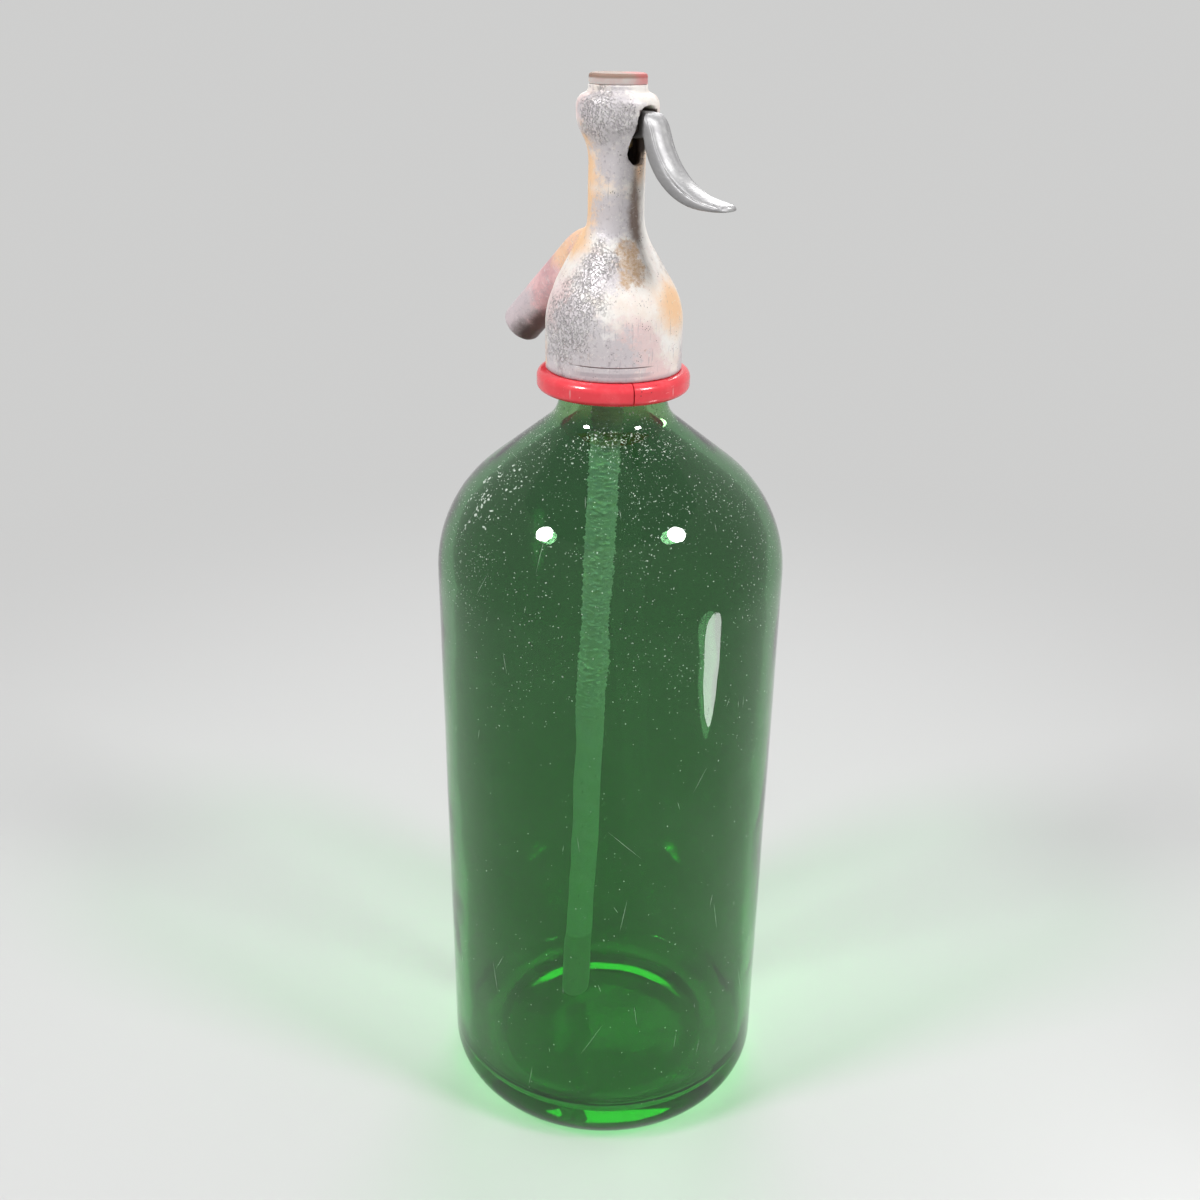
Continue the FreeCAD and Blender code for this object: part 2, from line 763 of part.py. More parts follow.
def lever_side():
    """The claw's side outline: nose, eye, root, outer face, tip, inner face."""
    nose_x = "pivot_reach - nose_reach"
    return [
        (nose_x, "nose_z + nose_radius"),
        ("left", "nose_radius"),
        (nose_x + " - nose_radius", "nose_z"),
        ("left", "nose_radius"),
        (nose_x, "nose_z - nose_radius"),
        ("pivot_reach - eye_radius", "pivot_z - nose_arm"),
        ("left", "eye_radius"),
        ("pivot_reach", "pivot_z - eye_radius"),
        ("inner_b_x", "inner_b_z"),
        ("left", "inner_arc"),
        ("inner_c_x", "inner_c_z"),
        ("tip_x - tip_thickness / 2", "tip_z - tip_thickness"),
        ("left", "tip_thickness / 2"),
        ("tip_x", "tip_z - tip_thickness / 2"),
        ("left", "tip_thickness / 2"),
        ("tip_x - tip_thickness / 2", "tip_z"),
        ("outer_c_x", "outer_c_z"),
        ("right", "outer_arc"),
        ("outer_b_x", "outer_b_z"),
        ("outer_a_x", "outer_a_z"),
        ("left", "root_arc"),
        ("pivot_reach + root_out", "lever_top_z"),
        ("pivot_reach", "lever_top_z"),
        ("pivot_reach - eye_radius", "pivot_z + nose_arm_top"),
    ]


def lever():
    """Claw lever: a nose for the valve, an eye for the pin, and a curved finger piece."""
    owner = body("lever")
    pad(owner, outline(owner, "XZ", "lever_side", lever_side()), "lever_half_width")
    fillet(owner, "edge_round", lambda edge: (
        isinstance(edge.Curve, Part.Circle)
        and abs(edge.Curve.Radius - number("outer_arc")) < 1e-4))
    for side in ("", "-"):
        narrow_root(owner, side)
        narrow_nose(owner, side)
        round_tip(owner, side)
    hollow_underside(owner)
    eye = circle(owner, "XZ", "eye", "pivot_reach", "pivot_z", "pin_radius + running_gap")
    pocket(owner, eye, both_ways=True)


def narrow_root(owner, side):
    """Thins the root so that it turns inside the slot."""
    flare_x = "bulb_radius + slot_clearance"
    pocket(owner, outline(owner, "XY", "root_side", mirrored(side, [
        ("-lever_half_width", "root_half_width"),
        (flare_x, "root_half_width"),
        (flare_x + " + root_flare", "lever_half_width"),
        (flare_x + " + root_flare", "lever_half_width + overrun"),
        ("-lever_half_width", "lever_half_width + overrun"),
    ])), both_ways=True)


def narrow_nose(owner, side):
    """Thins the arm that reaches into the piston's window."""
    eye_x = "pivot_reach - eye_radius"
    pocket(owner, outline(owner, "XY", "nose_side", mirrored(side, [
        ("-lever_half_width", "nose_half_width"),
        (eye_x, "nose_half_width"),
        (eye_x + " + (root_half_width - nose_half_width) / 2", "lever_half_width + overrun"),
        ("-lever_half_width", "lever_half_width + overrun"),
    ])), both_ways=True)


def round_tip(owner, side):
    """Rounds one corner of the tip in plan."""
    pocket(owner, outline(owner, "XY", "tip_side", mirrored(side, [
        ("tip_x - tip_corner", "lever_half_width"),
        ("right", "tip_corner"),
        ("tip_x", "lever_half_width - tip_corner"),
        ("tip_x + tip_corner", "lever_half_width - tip_corner"),
        ("tip_x + tip_corner", "lever_half_width + tip_corner"),
        ("tip_x - tip_corner", "lever_half_width + tip_corner"),
    ])), both_ways=True)


def mirrored(side, path):
    """The same plan outline, or its mirror image where the side is a minus sign."""
    if not side:
        return path
    swap = {"left": "right", "right": "left"}
    flipped = []
    for step in path:
        if step[0] in swap:
            flipped.append((swap[step[0]], step[1]))
        else:
            flipped.append((step[0], "-(%s)" % step[1]))
    return flipped


def hollow_underside(owner):
    """Cores the finger piece from below and leaves an even shell with side rims."""
    end_x = "outer_c_x + hollow_rim"
    low = "inner_c_z - root_flare"
    pocket(owner, outline(owner, "XZ", "hollow", [
        ("outer_b_x - hollow_shell * cos(upper_slope)",
         "outer_b_z - hollow_shell * sin(upper_slope)"),
        ("left", "outer_arc + hollow_shell"),
        ("outer_c_x - hollow_shell * sin(tip_slope)",
         "outer_c_z - hollow_shell * cos(tip_slope)"),
        (end_x, "outer_c_z - hollow_shell * cos(tip_slope)"
                " - (hollow_rim + hollow_shell * sin(tip_slope)) * tan(tip_slope)"),
        (end_x, low),
        ("inner_b_x - hollow_rim", low),
        ("inner_b_x - hollow_rim", "inner_b_z - hollow_shell"),
    ]), "2 * (lever_half_width - hollow_rim)", both_ways=True)


# ---------------------------------------------------------------- spout

def spout_path(owner, name):
    """Centre line: level out of the throat, one bend, then straight down to the mouth."""
    return outline(owner, "XZ", name, [
        ("0", "spout_z"),
        ("-spout_root", "spout_z"),
        ("left", "spout_bend"),
        ("bend_x", "bend_z"),
        ("mouth_x", "spout_end_z"),
    ], closed=False)


def sweep(owner, section, path, cut=False):
    kind = "PartDesign::SubtractivePipe" if cut else "PartDesign::AdditivePipe"
    pipe = owner.newObject(kind, "bore" if cut else "barrel")
    pipe.Profile = section
    pipe.Spine = path
    return settle(owner, cut)


def spout_way(owner):
    """The water's way along the spout's centre line."""
    section = circle(owner, "YZ", "bore_section", "0", "spout_z", "spout_bore")
    sweep(owner, section, spout_path(owner, "bore_axis"), cut=True)


def spout_tube():
    """Bent spout with a saddle that fits the head, and a spigot into the chamber."""
    owner = body("spout_tube")
    section = circle(owner, "YZ", "spout_section", "0", "spout_z", "spout_radius")
    sweep(owner, section, spout_path(owner, "spout_axis"))
    saddle = [step if step[0] in ("left", "right") else
              (step[0] + " + solder_gap", step[1]) for step in bell_outside()]
    revolve(owner, outline(owner, "XZ", "saddle",
                           [("0", "skirt_z")] + saddle + [("0", "bulb_z")]), cut=True)
    spigot = owner.newObject("PartDesign::Pad", "spigot")
    spigot.Profile = circle(owner, "YZ", "spigot_section", "0", "spout_z", "spigot_radius")
    spigot.Reversed = True
    spigot.setExpression("Length", bound("throat_radius + spout_root"))
    settle(owner)
    revolve(owner, outline(owner, "XZ", "chamber_clearance", block(
        "0", "chamber_bore", "chamber_z", "packing_z")), cut=True)
    spout_way(owner)
    mouth = circle(owner, "YZ", "mouth_section", "0", "0", "spout_mouth_bore")
    mouth.AttachmentOffset = FreeCAD.Placement(
        FreeCAD.Vector(), FreeCAD.Rotation(FreeCAD.Vector(1, 0, 0), -1))
    mouth.setExpression("AttachmentOffset.Rotation.Angle", bound("-spout_drop"))
    mouth.setExpression("AttachmentOffset.Base.y", bound("spout_end_z"))
    mouth.setExpression("AttachmentOffset.Base.z", bound("mouth_x"))
    pocket(owner, mouth, "spout_mouth_depth", backwards=True)
    fillet(owner, "spout_mouth_round", lambda edge: (
        isinstance(edge.Curve, Part.Circle)
        and abs(edge.Curve.Radius - number("spout_radius")) < 1e-4
        and abs(edge.Curve.Center.x - number("mouth_x")) < 1e-4))


def lever_pin():
    """Steel pin across the bulb, dressed off flush with its cheeks, which carries the lever."""
    owner = body("lever_pin")
    section = circle(owner, "XZ", "pin_section", "pivot_reach", "pivot_z", "pin_radius")
    pad(owner, section, "bulb_radius")
    revolve(owner, outline(owner, "XZ", "dressing",
                           [("throat_radius", "bulb_z")] + bulb_outside() + [
                               ("2 * bulb_radius", "crown_z"),
                               ("2 * bulb_radius", "bulb_z"),
                           ]), cut=True)


# ---------------------------------------------------------------- assembly

fill_sheet()
glass_bottle()
collar_half("collar_half_rear", 90)
collar_half("collar_half_front", -90)
head_casting()
ring("mouth_gasket", "neck_bore + glass_gap", "bead_radius", "mouth_z", "ceiling_z")
ring("tube_nut", "tube_nut_bore", "socket_radius - press_gap",
     "ceiling_z", "ceiling_z + tube_nut_height")
tube_bush()
dip_tube()
ring("seat_washer", "seat_bore", "chamber_bore - press_gap", "chamber_z", "seat_z")
valve_seat()
ring("valve_washer", "screw_radius + press_gap", "washer_radius", "washer_z", "cup_z")
washer_cup()
washer_screw()
valve_stem()
ring("packing_washer", "stem_radius + running_gap", "upper_bore - press_gap",
     "packing_z", "packing_z + packing_washer_thickness")
ring("stem_packing", "stem_radius + running_gap", "upper_bore - press_gap",
     "packing_z + packing_washer_thickness", "gland_z")
gland_nut()
stem_spring()
top_cap()
lever()
lever_pin()
spout_tube()
doc.recompute()

for item in doc.Objects:
    if "Invalid" in item.State or "Error" in item.State:
        raise ValueError("failed: " + item.Label)
for part in siphon_parts:
    if part.Shape.isNull() or not part.Shape.isValid():
        raise ValueError("no valid solid: " + part.Label)

os.makedirs("parts", exist_ok=True)
for part in siphon_parts:
    part.Shape.exportStep(os.path.join("parts", part.Label + ".step"))
    print("%-20s %9.1f mm3" % (part.Label, part.Shape.Volume))
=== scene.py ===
import json
import math
import random

import bmesh
import bpy
from mathutils import Matrix, Quaternion, Vector, noise
from mathutils.bvhtree import BVHTree


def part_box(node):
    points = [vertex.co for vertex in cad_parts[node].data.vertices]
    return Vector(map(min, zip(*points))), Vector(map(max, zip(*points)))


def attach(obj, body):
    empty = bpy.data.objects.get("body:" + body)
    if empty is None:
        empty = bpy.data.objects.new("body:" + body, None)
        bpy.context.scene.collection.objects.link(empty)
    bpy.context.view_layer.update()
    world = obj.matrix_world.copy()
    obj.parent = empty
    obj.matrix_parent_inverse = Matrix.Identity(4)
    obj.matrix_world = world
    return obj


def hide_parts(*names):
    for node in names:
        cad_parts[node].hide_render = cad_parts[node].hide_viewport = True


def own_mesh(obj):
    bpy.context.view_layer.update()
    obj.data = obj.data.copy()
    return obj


# The looks of a refillable soda siphon: thick green glass, a worn cast head with
# its claw lever and spout, a red split collar, a rose cap and a leaning dip tube.
# Metres, in the frame's own axes: +Z up, lever along +X, spout along -X.
# Sizes and pitches of textures count their cells per metre: a larger one is finer.

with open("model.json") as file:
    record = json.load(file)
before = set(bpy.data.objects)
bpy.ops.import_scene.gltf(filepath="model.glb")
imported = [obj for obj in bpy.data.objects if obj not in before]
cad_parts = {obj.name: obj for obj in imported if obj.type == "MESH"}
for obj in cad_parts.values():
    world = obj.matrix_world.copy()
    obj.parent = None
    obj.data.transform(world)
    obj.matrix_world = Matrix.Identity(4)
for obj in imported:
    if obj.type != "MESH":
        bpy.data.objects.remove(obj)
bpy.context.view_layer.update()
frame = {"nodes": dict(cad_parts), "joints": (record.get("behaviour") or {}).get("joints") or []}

MM = 0.001
UP = Vector((0, 0, 1))


# ---- camera

CAMERA_AZIMUTH = math.radians(40.0)
CAMERA_PITCH = math.radians(24.45)
CAMERA_TURN = math.radians(0.42)
CAMERA_ROLL = math.radians(0.945)
CAMERA_REACH = 352.8 * MM
CAMERA_HEIGHT = 326.4 * MM
CAMERA_LENS = 39.3
CAMERA_CLIP = 10.0 * MM


def show(name, data):
    """A new object in the scene."""
    thing = bpy.data.objects.new(name, data)
    bpy.context.scene.collection.objects.link(thing)
    return thing


def towards(azimuth, elevation=0.0):
    """The direction from the siphon to a stand at that azimuth, 0 being -Y."""
    level = math.cos(elevation)
    return Vector((math.sin(azimuth) * level, -math.cos(azimuth) * level, math.sin(elevation)))


def set_up_camera():
    lens = bpy.data.cameras.new("camera")
    lens.lens = CAMERA_LENS
    lens.clip_start = CAMERA_CLIP
    camera = show("camera", lens)
    aim = towards(CAMERA_AZIMUTH, CAMERA_PITCH).to_track_quat("Z", "Y")
    turn = Quaternion((0, 1, 0), CAMERA_TURN)
    roll = Quaternion(UP, CAMERA_ROLL)
    camera.rotation_mode = "QUATERNION"
    camera.rotation_quaternion = aim @ turn @ roll
    camera.location = towards(CAMERA_AZIMUTH) * CAMERA_REACH + UP * CAMERA_HEIGHT
    bpy.context.scene.camera = camera


# ---- shader building

def add(tree, kind, inputs=None, **settings):
    """Adds a node. A socket among the inputs is linked, and anything else is set."""
    made = tree.nodes.new("ShaderNode" + kind)
    for name, value in settings.items():
        setattr(made, name, value)
    for name, value in (inputs or {}).items():
        feed(tree, value, made.inputs[name])
    return made


def feed(tree, value, socket):
    if isinstance(value, bpy.types.NodeSocket):
        tree.links.new(value, socket)
    else:
        socket.default_value = value


def fill(tree, node, **values):
    """Feeds a node's inputs by their names, with an underscore for each space."""
    for label, value in values.items():
        feed(tree, value, node.inputs[label.replace("_", " ")])


def maths(tree, operation, *values):
    made = add(tree, "Math", operation=operation)
    for value, socket in zip(values, made.inputs):
        feed(tree, value, socket)
    return made.outputs[0]


def times(tree, one, other):
    return maths(tree, "MULTIPLY", one, other)


def minus(tree, one, other):
    return maths(tree, "SUBTRACT", one, other)


def inverse(tree, mask):
    return minus(tree, 1, mask)


def strongest(tree, *masks):
    joined = masks[0]
    for mask in masks[1:]:
        joined = maths(tree, "MAXIMUM", joined, mask)
    return joined


def around(tree, middle, half):
    """The two limits that lie equally far below and above a middle."""
    return minus(tree, middle, half), maths(tree, "ADD", middle, half)


def ramp(tree, value, low, high, out_low=0, out_high=1):
    """Maps a value smoothly from one span to another, and holds it inside."""
    made = add(tree, "MapRange", {"Value": value, "From Min": low, "From Max": high,
                                  "To Min": out_low, "To Max": out_high},
               interpolation_type="SMOOTHSTEP")
    return made.outputs["Result"]


def fall(tree, value, low, high):
    """White up to the low limit, and black from the high one."""
    return ramp(tree, value, low, high, 1, 0)


def graded(tree, mask, plain, marked):
    """A value that goes from plain to marked as the mask goes from black to white."""
    return ramp(tree, mask, 0, 1, plain, marked)


def band(tree, value, low, high, soft):
    """White where a value lies between two limits."""
    return times(tree, ramp(tree, value, low, low + soft), fall(tree, value, high - soft, high))


def tint(tree, mask, under, over):
    """Lays one colour over another where the mask is white."""
    made = add(tree, "Mix", {"Factor": mask, "A": under, "B": over}, data_type="RGBA")
    return made.outputs["Result"]


def coats(tree, colour, *layers):
    """Lays coats over a first colour, lowest first: each a mask, its strength, its colour."""
    for mask, strength, over in layers:
        colour = tint(tree, times(tree, mask, strength) if strength < 1 else mask, colour, over)
    return colour


def where(tree):
    """Where a shading point lies on its piece, in the frame's metres."""
    return add(tree, "TexCoord").outputs["Object"]


def axes(tree):
    return add(tree, "SeparateXYZ", {"Vector": where(tree)}).outputs


def height(tree):
    return axes(tree)["Z"]


def length(tree, vector):
    return add(tree, "VectorMath", {0: vector}, operation="LENGTH").outputs["Value"]


def stretched(tree, place, scale):
    """A place with its height scaled, so that a pattern laid over it is drawn out upright."""
    scales = add(tree, "CombineXYZ", {"X": 1, "Y": 1, "Z": scale}).outputs[0]
    return add(tree, "VectorMath", {0: place, 1: scales}, operation="MULTIPLY").outputs[0]


def grain(tree, size, detail=6, roughness=0.6, place=None, shift=None):
    """Soft noise. With a shift it is another pattern of the same kind."""
    inputs = {"Vector": where(tree) if place is None else place, "Scale": size,
              "Detail": detail, "Roughness": roughness}
    if shift is None:
        return add(tree, "TexNoise", inputs).outputs["Fac"]
    return add(tree, "TexNoise", inputs | {"W": shift}, noise_dimensions="4D").outputs["Fac"]


# ---- effects

TEAR_DEPTH = 4
SPECK_CLUSTER = 9
SPECK_CLUSTER_EDGE = (0.42, 0.68)
SPECK_EDGE = (-0.08, 0.02)
MARK_LEVEL = 0.86
MARK_COVER = 0.3
MARK_EDGE = 0.05
LINE_CORE = 0.35


def new_group(name, *inputs):
    """An empty effect: its inputs, each a label and a first value, and one mask as output."""
    tree = bpy.data.node_groups.new(name, "ShaderNodeTree")
    for label, value in inputs:
        kind = "NodeSocketFloat" if isinstance(value, float) else "NodeSocketVector"
        tree.interface.new_socket(label, in_out="INPUT", socket_type=kind).default_value = value
    tree.interface.new_socket("Mask", in_out="OUTPUT", socket_type="NodeSocketFloat")
    given = tree.nodes.new("NodeGroupInput").outputs
    return tree, given, tree.nodes.new("NodeGroupOutput").inputs["Mask"]


def ragged_patch():
    """One patch with a broken edge, round a place on the siphon. Upright stretches it in height."""
    tree, given, mask = new_group(
        "ragged patch", ("Centre", (0, 0, 0)), ("Reach", 0.01), ("Raggedness", 0.6),
        ("Tear size", 400.0), ("Edge", 0.12), ("Upright", 1.0))
    place = where(tree)
    offset = add(tree, "VectorMath", {0: place, 1: given["Centre"]}, operation="SUBTRACT")
    offset = stretched(tree, offset.outputs[0], maths(tree, "DIVIDE", 1, given["Upright"]))
    share = maths(tree, "DIVIDE", length(tree, offset), given["Reach"])
    tears = grain(tree, given["Tear size"], 8, 0.72, place)
    lift = times(tree, minus(tree, tears, 0.5), times(tree, given["Raggedness"], TEAR_DEPTH))
    edge = maths(tree, "ADD", share, lift)
    feed(tree, fall(tree, edge, *around(tree, 1, given["Edge"])), mask)
    return tree


def blotches():
    """Scattered patches all over, with broken edges."""
    tree, given, mask = new_group(
        "blotches", ("Size", 60.0), ("Cover", 0.5), ("Edge", 0.04), ("Roughness", 0.65),
        ("Shift", 0.0))
    cloud = grain(tree, given["Size"], 9, given["Roughness"], shift=given["Shift"])
    middle = inverse(tree, given["Cover"])
    feed(tree, ramp(tree, cloud, *around(tree, middle, given["Edge"])), mask)
    return tree


def specks():
    """Small round pits or spots, of uneven size and spread."""
    tree, given, mask = new_group("specks", ("Size", 600.0), ("Cover", 0.3), ("Shift", 0.0))
    place = where(tree)
    cells = add(tree, "TexVoronoi", {"Vector": place, "W": given["Shift"],
                                     "Scale": given["Size"]}, voronoi_dimensions="4D")
    clusters = grain(tree, maths(tree, "DIVIDE", given["Size"], SPECK_CLUSTER), 4, 0.5, place)
    reach = times(tree, given["Cover"], ramp(tree, clusters, *SPECK_CLUSTER_EDGE))
    feed(tree, fall(tree, minus(tree, cells.outputs["Distance"], reach), *SPECK_EDGE), mask)
    return tree


def scratches():
    """Fine straight marks that run one way. Width is a share of their length."""
    tree, given, mask = new_group(
        "scratches", ("Along", (0, 0, 0)), ("Size", 900.0), ("Width", 0.04), ("Cover", 0.3))
    turned = add(tree, "VectorRotate", {"Vector": where(tree), "Rotation": given["Along"]},
                 rotation_type="EULER_XYZ")
    drawn = stretched(tree, turned.outputs[0], given["Width"])
    cloud = grain(tree, given["Size"], 3, 0.6, drawn)
    high = minus(tree, MARK_LEVEL, times(tree, given["Cover"], MARK_COVER))
    feed(tree, ramp(tree, cloud, minus(tree, high, MARK_EDGE), high), mask)
    return tree


def crazing():
    """Thin wandering lines, such as the edges of flaked paint and creeping corrosion."""
    tree, given, mask = new_group(
        "crazing", ("Size", 400.0), ("Width", 0.02), ("Level", 0.5), ("Shift", 0.0),
        ("Stretch", 1.0))
    place = stretched(tree, where(tree), given["Stretch"])
    cloud = grain(tree, given["Size"], 4, 0.6, place, given["Shift"])
    apart = maths(tree, "ABSOLUTE", minus(tree, cloud, given["Level"]))
    feed(tree, fall(tree, apart, 0, given["Width"]), mask)
    return tree


GROUPS = {build: build() for build in (ragged_patch, blotches, specks, scratches, crazing)}


def use(tree, effect, **inputs):
    """Places an effect in a material with its own values, and gives its mask."""
    made = add(tree, "Group", node_tree=GROUPS[effect])
    fill(tree, made, **inputs)
    return made.outputs["Mask"]


def patches(tree, places, ragged, tear, edge, upright=1):
    """The joined mask of placed patches, each a centre and a reach in millimetres."""
    return strongest(tree, *(
        use(tree, ragged_patch, Centre=Vector(centre) * MM, Reach=reach * MM, Edge=edge,
            Raggedness=ragged, Tear_size=tear, Upright=upright)
        for centre, reach in places))


def level_mark(tree, level, half):
    """A line drawn level round the head at one height."""
    apart = maths(tree, "ABSOLUTE", minus(tree, height(tree), level))
    return fall(tree, apart, half * LINE_CORE, half)


def finish(name, **sockets):
    """A new material and its Principled shader, with plain values on its own sockets."""
    material = bpy.data.materials.new(name)
    material.use_nodes = True
    shader = material.node_tree.nodes["Principled BSDF"]
    fill(material.node_tree, shader, **sockets)
    return material, material.node_tree, shader


def relief(tree, shader, *bumps):
    """Bumps in a row, each a height mask and its depth in millimetres."""
    normal = None
    for mask, depth in bumps:
        bump = add(tree, "Bump", {"Height": mask, "Distance": depth * MM})
        if normal is not None:
            feed(tree, normal, bump.inputs["Normal"])
        normal = bump.outputs["Normal"]
    feed(tree, normal, shader.inputs["Normal"])


# ---- finishes

GLASS_FOOT = (0.105, 0.345, 0.115, 1)
GLASS_SHOULDER = (0.2, 0.345, 0.215, 1)
GLASS_DUSTY = (0.25, 0.45, 0.26, 1)
GLASS_TURN = (70 * MM, 215 * MM)
NECK_GRIME = (0.52, 0.55, 0.36, 1)
NECK_GRIME_RISE = (221 * MM, 227 * MM)
GREEN_TAKEN = (0.03, 0.78, 0.17, 1)
GREEN_DENSITY = 60


def bottle_glass():
    """Deep green glass, scuffed and dusty with lime."""
    material, tree, shader = finish("bottle_glass", IOR=1.5, Transmission_Weight=1)
    dusty = use(tree, blotches, Size=38, Cover=0.42, Edge=0.1, Roughness=0.75)
    scuffs = use(tree, scratches, Along=(0.25, 0.1, 0), Size=1400, Width=0.03, Cover=0.35)
    rings = use(tree, scratches, Along=(1.45, 0.3, 0), Size=1700, Width=0.05, Cover=0.25)
    worn = strongest(tree, times(tree, dusty, 0.35), scuffs, rings)
    green = tint(tree, ramp(tree, height(tree), *GLASS_TURN), GLASS_FOOT, GLASS_SHOULDER)
    grime = times(tree, ramp(tree, height(tree), *NECK_GRIME_RISE),
                  use(tree, blotches, Size=260, Cover=0.72, Edge=0.1))
    fill(tree, shader, Roughness=graded(tree, worn, 0.005, 0.11),
         Base_Color=coats(tree, green, (worn, 1, GLASS_DUSTY), (grime, 1, NECK_GRIME)))
    relief(tree, shader, (grain(tree, 26, 2), 0.35), (scuffs, 0.02))
    taken = add(tree, "VolumeAbsorption", {"Color": GREEN_TAKEN, "Density": GREEN_DENSITY})
    through = add(tree, "BsdfTransparent")
    lamp_ray = add(tree, "LightPath").outputs["Is Shadow Ray"]
    surface = add(tree, "MixShader", {0: lamp_ray, 1: shader.outputs[0], 2: through.outputs[0]})
    fill(tree, tree.nodes["Material Output"], Surface=surface.outputs[0], Volume=taken.outputs[0])
    return material


COLLAR_DEEP = (0.88, 0.045, 0.065, 1)
COLLAR_FADED = (0.94, 0.09, 0.11, 1)
COLLAR_RUBBED = (0.9, 0.36, 0.37, 1)
COLLAR_NICKED = (0.96, 0.62, 0.61, 1)
COLLAR_DIRT = (0.16, 0.02, 0.02, 1)
COLLAR_NICKS = [((2.8, -21.3, 233.4), 0.42), ((21.5, -0.3, 233.2), 0.42),
                ((-4.5, 21, 233), 0.42)]


def collar_red():
    """Glossy red moulded plastic, rubbed and a little scratched."""
    material, tree, shader = finish("collar_red", Specular_IOR_Level=0.55, Coat_Weight=0.25)
    faded = use(tree, blotches, Size=120, Cover=0.45, Edge=0.12)
    rubs = use(tree, scratches, Along=(1.5, 0.2, 0), Size=1500, Width=0.05, Cover=0.45)
    nicks = patches(tree, COLLAR_NICKS, ragged=0.08, tear=900, edge=0.45, upright=5)
    dirt = use(tree, specks, Size=900, Cover=0.22)
    colour = coats(
        tree, COLLAR_DEEP, (faded, 1, COLLAR_FADED), (rubs, 0.45, COLLAR_RUBBED),
        (nicks, 0.85, COLLAR_NICKED), (dirt, 0.7, COLLAR_DIRT))
    worn = strongest(tree, times(tree, faded, 0.4), rubs)
    fill(tree, shader, Base_Color=colour, Roughness=graded(tree, worn, 0.2, 0.48))
    relief(tree, shader, (grain(tree, 350, 3), 0.04), (rubs, 0.02),
           (inverse(tree, nicks), 0.12))
    return material


CREAM = (0.88, 0.78, 0.7, 1)
CHALK = (0.96, 0.93, 0.89, 1)
PINK = (0.84, 0.61, 0.61, 1)
PEACH = (0.94, 0.61, 0.36, 1)
TAN = (0.61, 0.4, 0.235, 1)
SHADOW_BROWN = (0.2, 0.125, 0.09, 1)
RUST = (0.42, 0.22, 0.12, 1)
TIN = (0.68, 0.635, 0.66, 1)
TIN_DULL = (0.4, 0.355, 0.39, 1)
TIN_BRIGHT = (0.91, 0.87, 0.86, 1)
DARK_PIT_AND_SHADE = (0.09, 0.06, 0.055, 1)

# Where the head's paint has gone, or kept its colour, and where shade, shadow and light are painted
# on it
BARE_PATCHES = [
    ((-1, -18, 240), 12), ((9, -16, 241.5), 10), ((1, -16.5, 250), 8),
    ((4, -10.8, 262), 6), ((4.6, -6.8, 277), 6.5), ((4, -9, 300), 9),
    ((5.5, -6.4, 291), 6), ((-15, 9, 245), 12), ((-2, 15.5, 257), 9),
    ((-6, 7, 300), 8), ((-4, 6, 281), 7), ((13, 12, 239), 8)]
# Peach: partly the paint's own colour, and partly a painted warm reflection along the throat's and
# bell's edges.
PEACH_AND_REFLECTION_PATCHES = [
    ((-4.9, -5.4, 279), 6.6), ((-4.9, -5.2, 288), 6.6), ((-6.4, -5.4, 270), 5.8),
    ((-2.6, -9, 296), 4), ((16.5, 4.5, 255), 6.5), ((7, 3.2, 288), 3.8),
    ((-13, -12, 240), 4.5), ((4, 16.5, 255), 8), ((-2, 7.2, 276), 6),
    ((-9, 4, 302), 4.5)]
PINK_PATCHES = [
    ((15, -10, 245), 7.5), ((18.5, -4, 238), 5), ((-6, -15, 254), 7),
    ((-3.5, -9.4, 303), 4.5), ((4, 8.6, 300), 6), ((-12, 12, 250), 9)]
# Tan paint on the bell below the lever's tip, darkened there as a painted shadow of the tip.
TAN_AND_SHADOW_PATCHES = [((10.2, -6.4, 264), 4.4), ((9, -5.2, 269), 3.4)]
CRUST_PATCHES = [
    ((-3, -17.5, 250), 10), ((1, -16.5, 257), 8), ((1, -9.5, 302), 6),
    ((4, -10.8, 266), 5), ((8.5, -7.4, 300.5), 3.5), ((-12, 13, 250), 11),
    ((5, 9, 262), 7), ((-1, 9.6, 301), 6)]
# A brown streak down the throat below the slot: a painted shadow of the lever.
LEVER_SHADOW_RUN = [((7, -0.9, 276.5), 2)]
# A pale strip on the throat's lit edge beside the streak: a painted highlight.
LIT_RIM_PATCH = [((6.6, 2.7, 275), 1.8)]
SKIRT_MARK = [((12, -15, 239.6), 10.5)]

SKIRT_LINE = (240.4 * MM, 0.22 * MM)
SKIRT_SHADE = (238.4 * MM, 0.8 * MM)
SKIRT_FOOT_SHADE = (236.6 * MM, 238.2 * MM)
# Where the inside of the throat and the slot is painted near black as shade
HOLLOW_EDGE = (5.9 * MM, 6.5 * MM)
HOLLOW_RISE = (250 * MM, 303 * MM)
HOLLOW_SOFT = 2 * MM
SLOT_HALF = 3.4 * MM
SLOT_ROUND = 292.9 * MM
SLOT_SOFT = 0.2 * MM
SLOT_END_SOFT = 0.3 * MM
SLOT_BACK_SOFT = 1 * MM


def painted_hollow_shade(tree):
    """The inside of the throat and the slot, painted near black as shade."""
    split = axes(tree)
    across = add(tree, "VectorMath", {0: where(tree), 1: (1, 1, 0)},
                 operation="MULTIPLY")
    inside = times(tree, fall(tree, length(tree, across.outputs[0]), *HOLLOW_EDGE),
                   band(tree, split["Z"], *HOLLOW_RISE, HOLLOW_SOFT))
    drop = maths(tree, "MINIMUM", minus(tree, split["Z"], SLOT_ROUND), 0)
    flat = add(tree, "CombineXYZ", {"Y": split["Y"], "Z": drop})
    aside = length(tree, flat.outputs[0])
    forward = times(tree, ramp(tree, split["X"], 0, SLOT_BACK_SOFT),
                    band(tree, split["Z"], *HOLLOW_RISE, SLOT_END_SOFT))
    slot = times(tree, fall(tree, aside, SLOT_HALF, SLOT_HALF + SLOT_SOFT), forward)
    return strongest(tree, inside, slot)


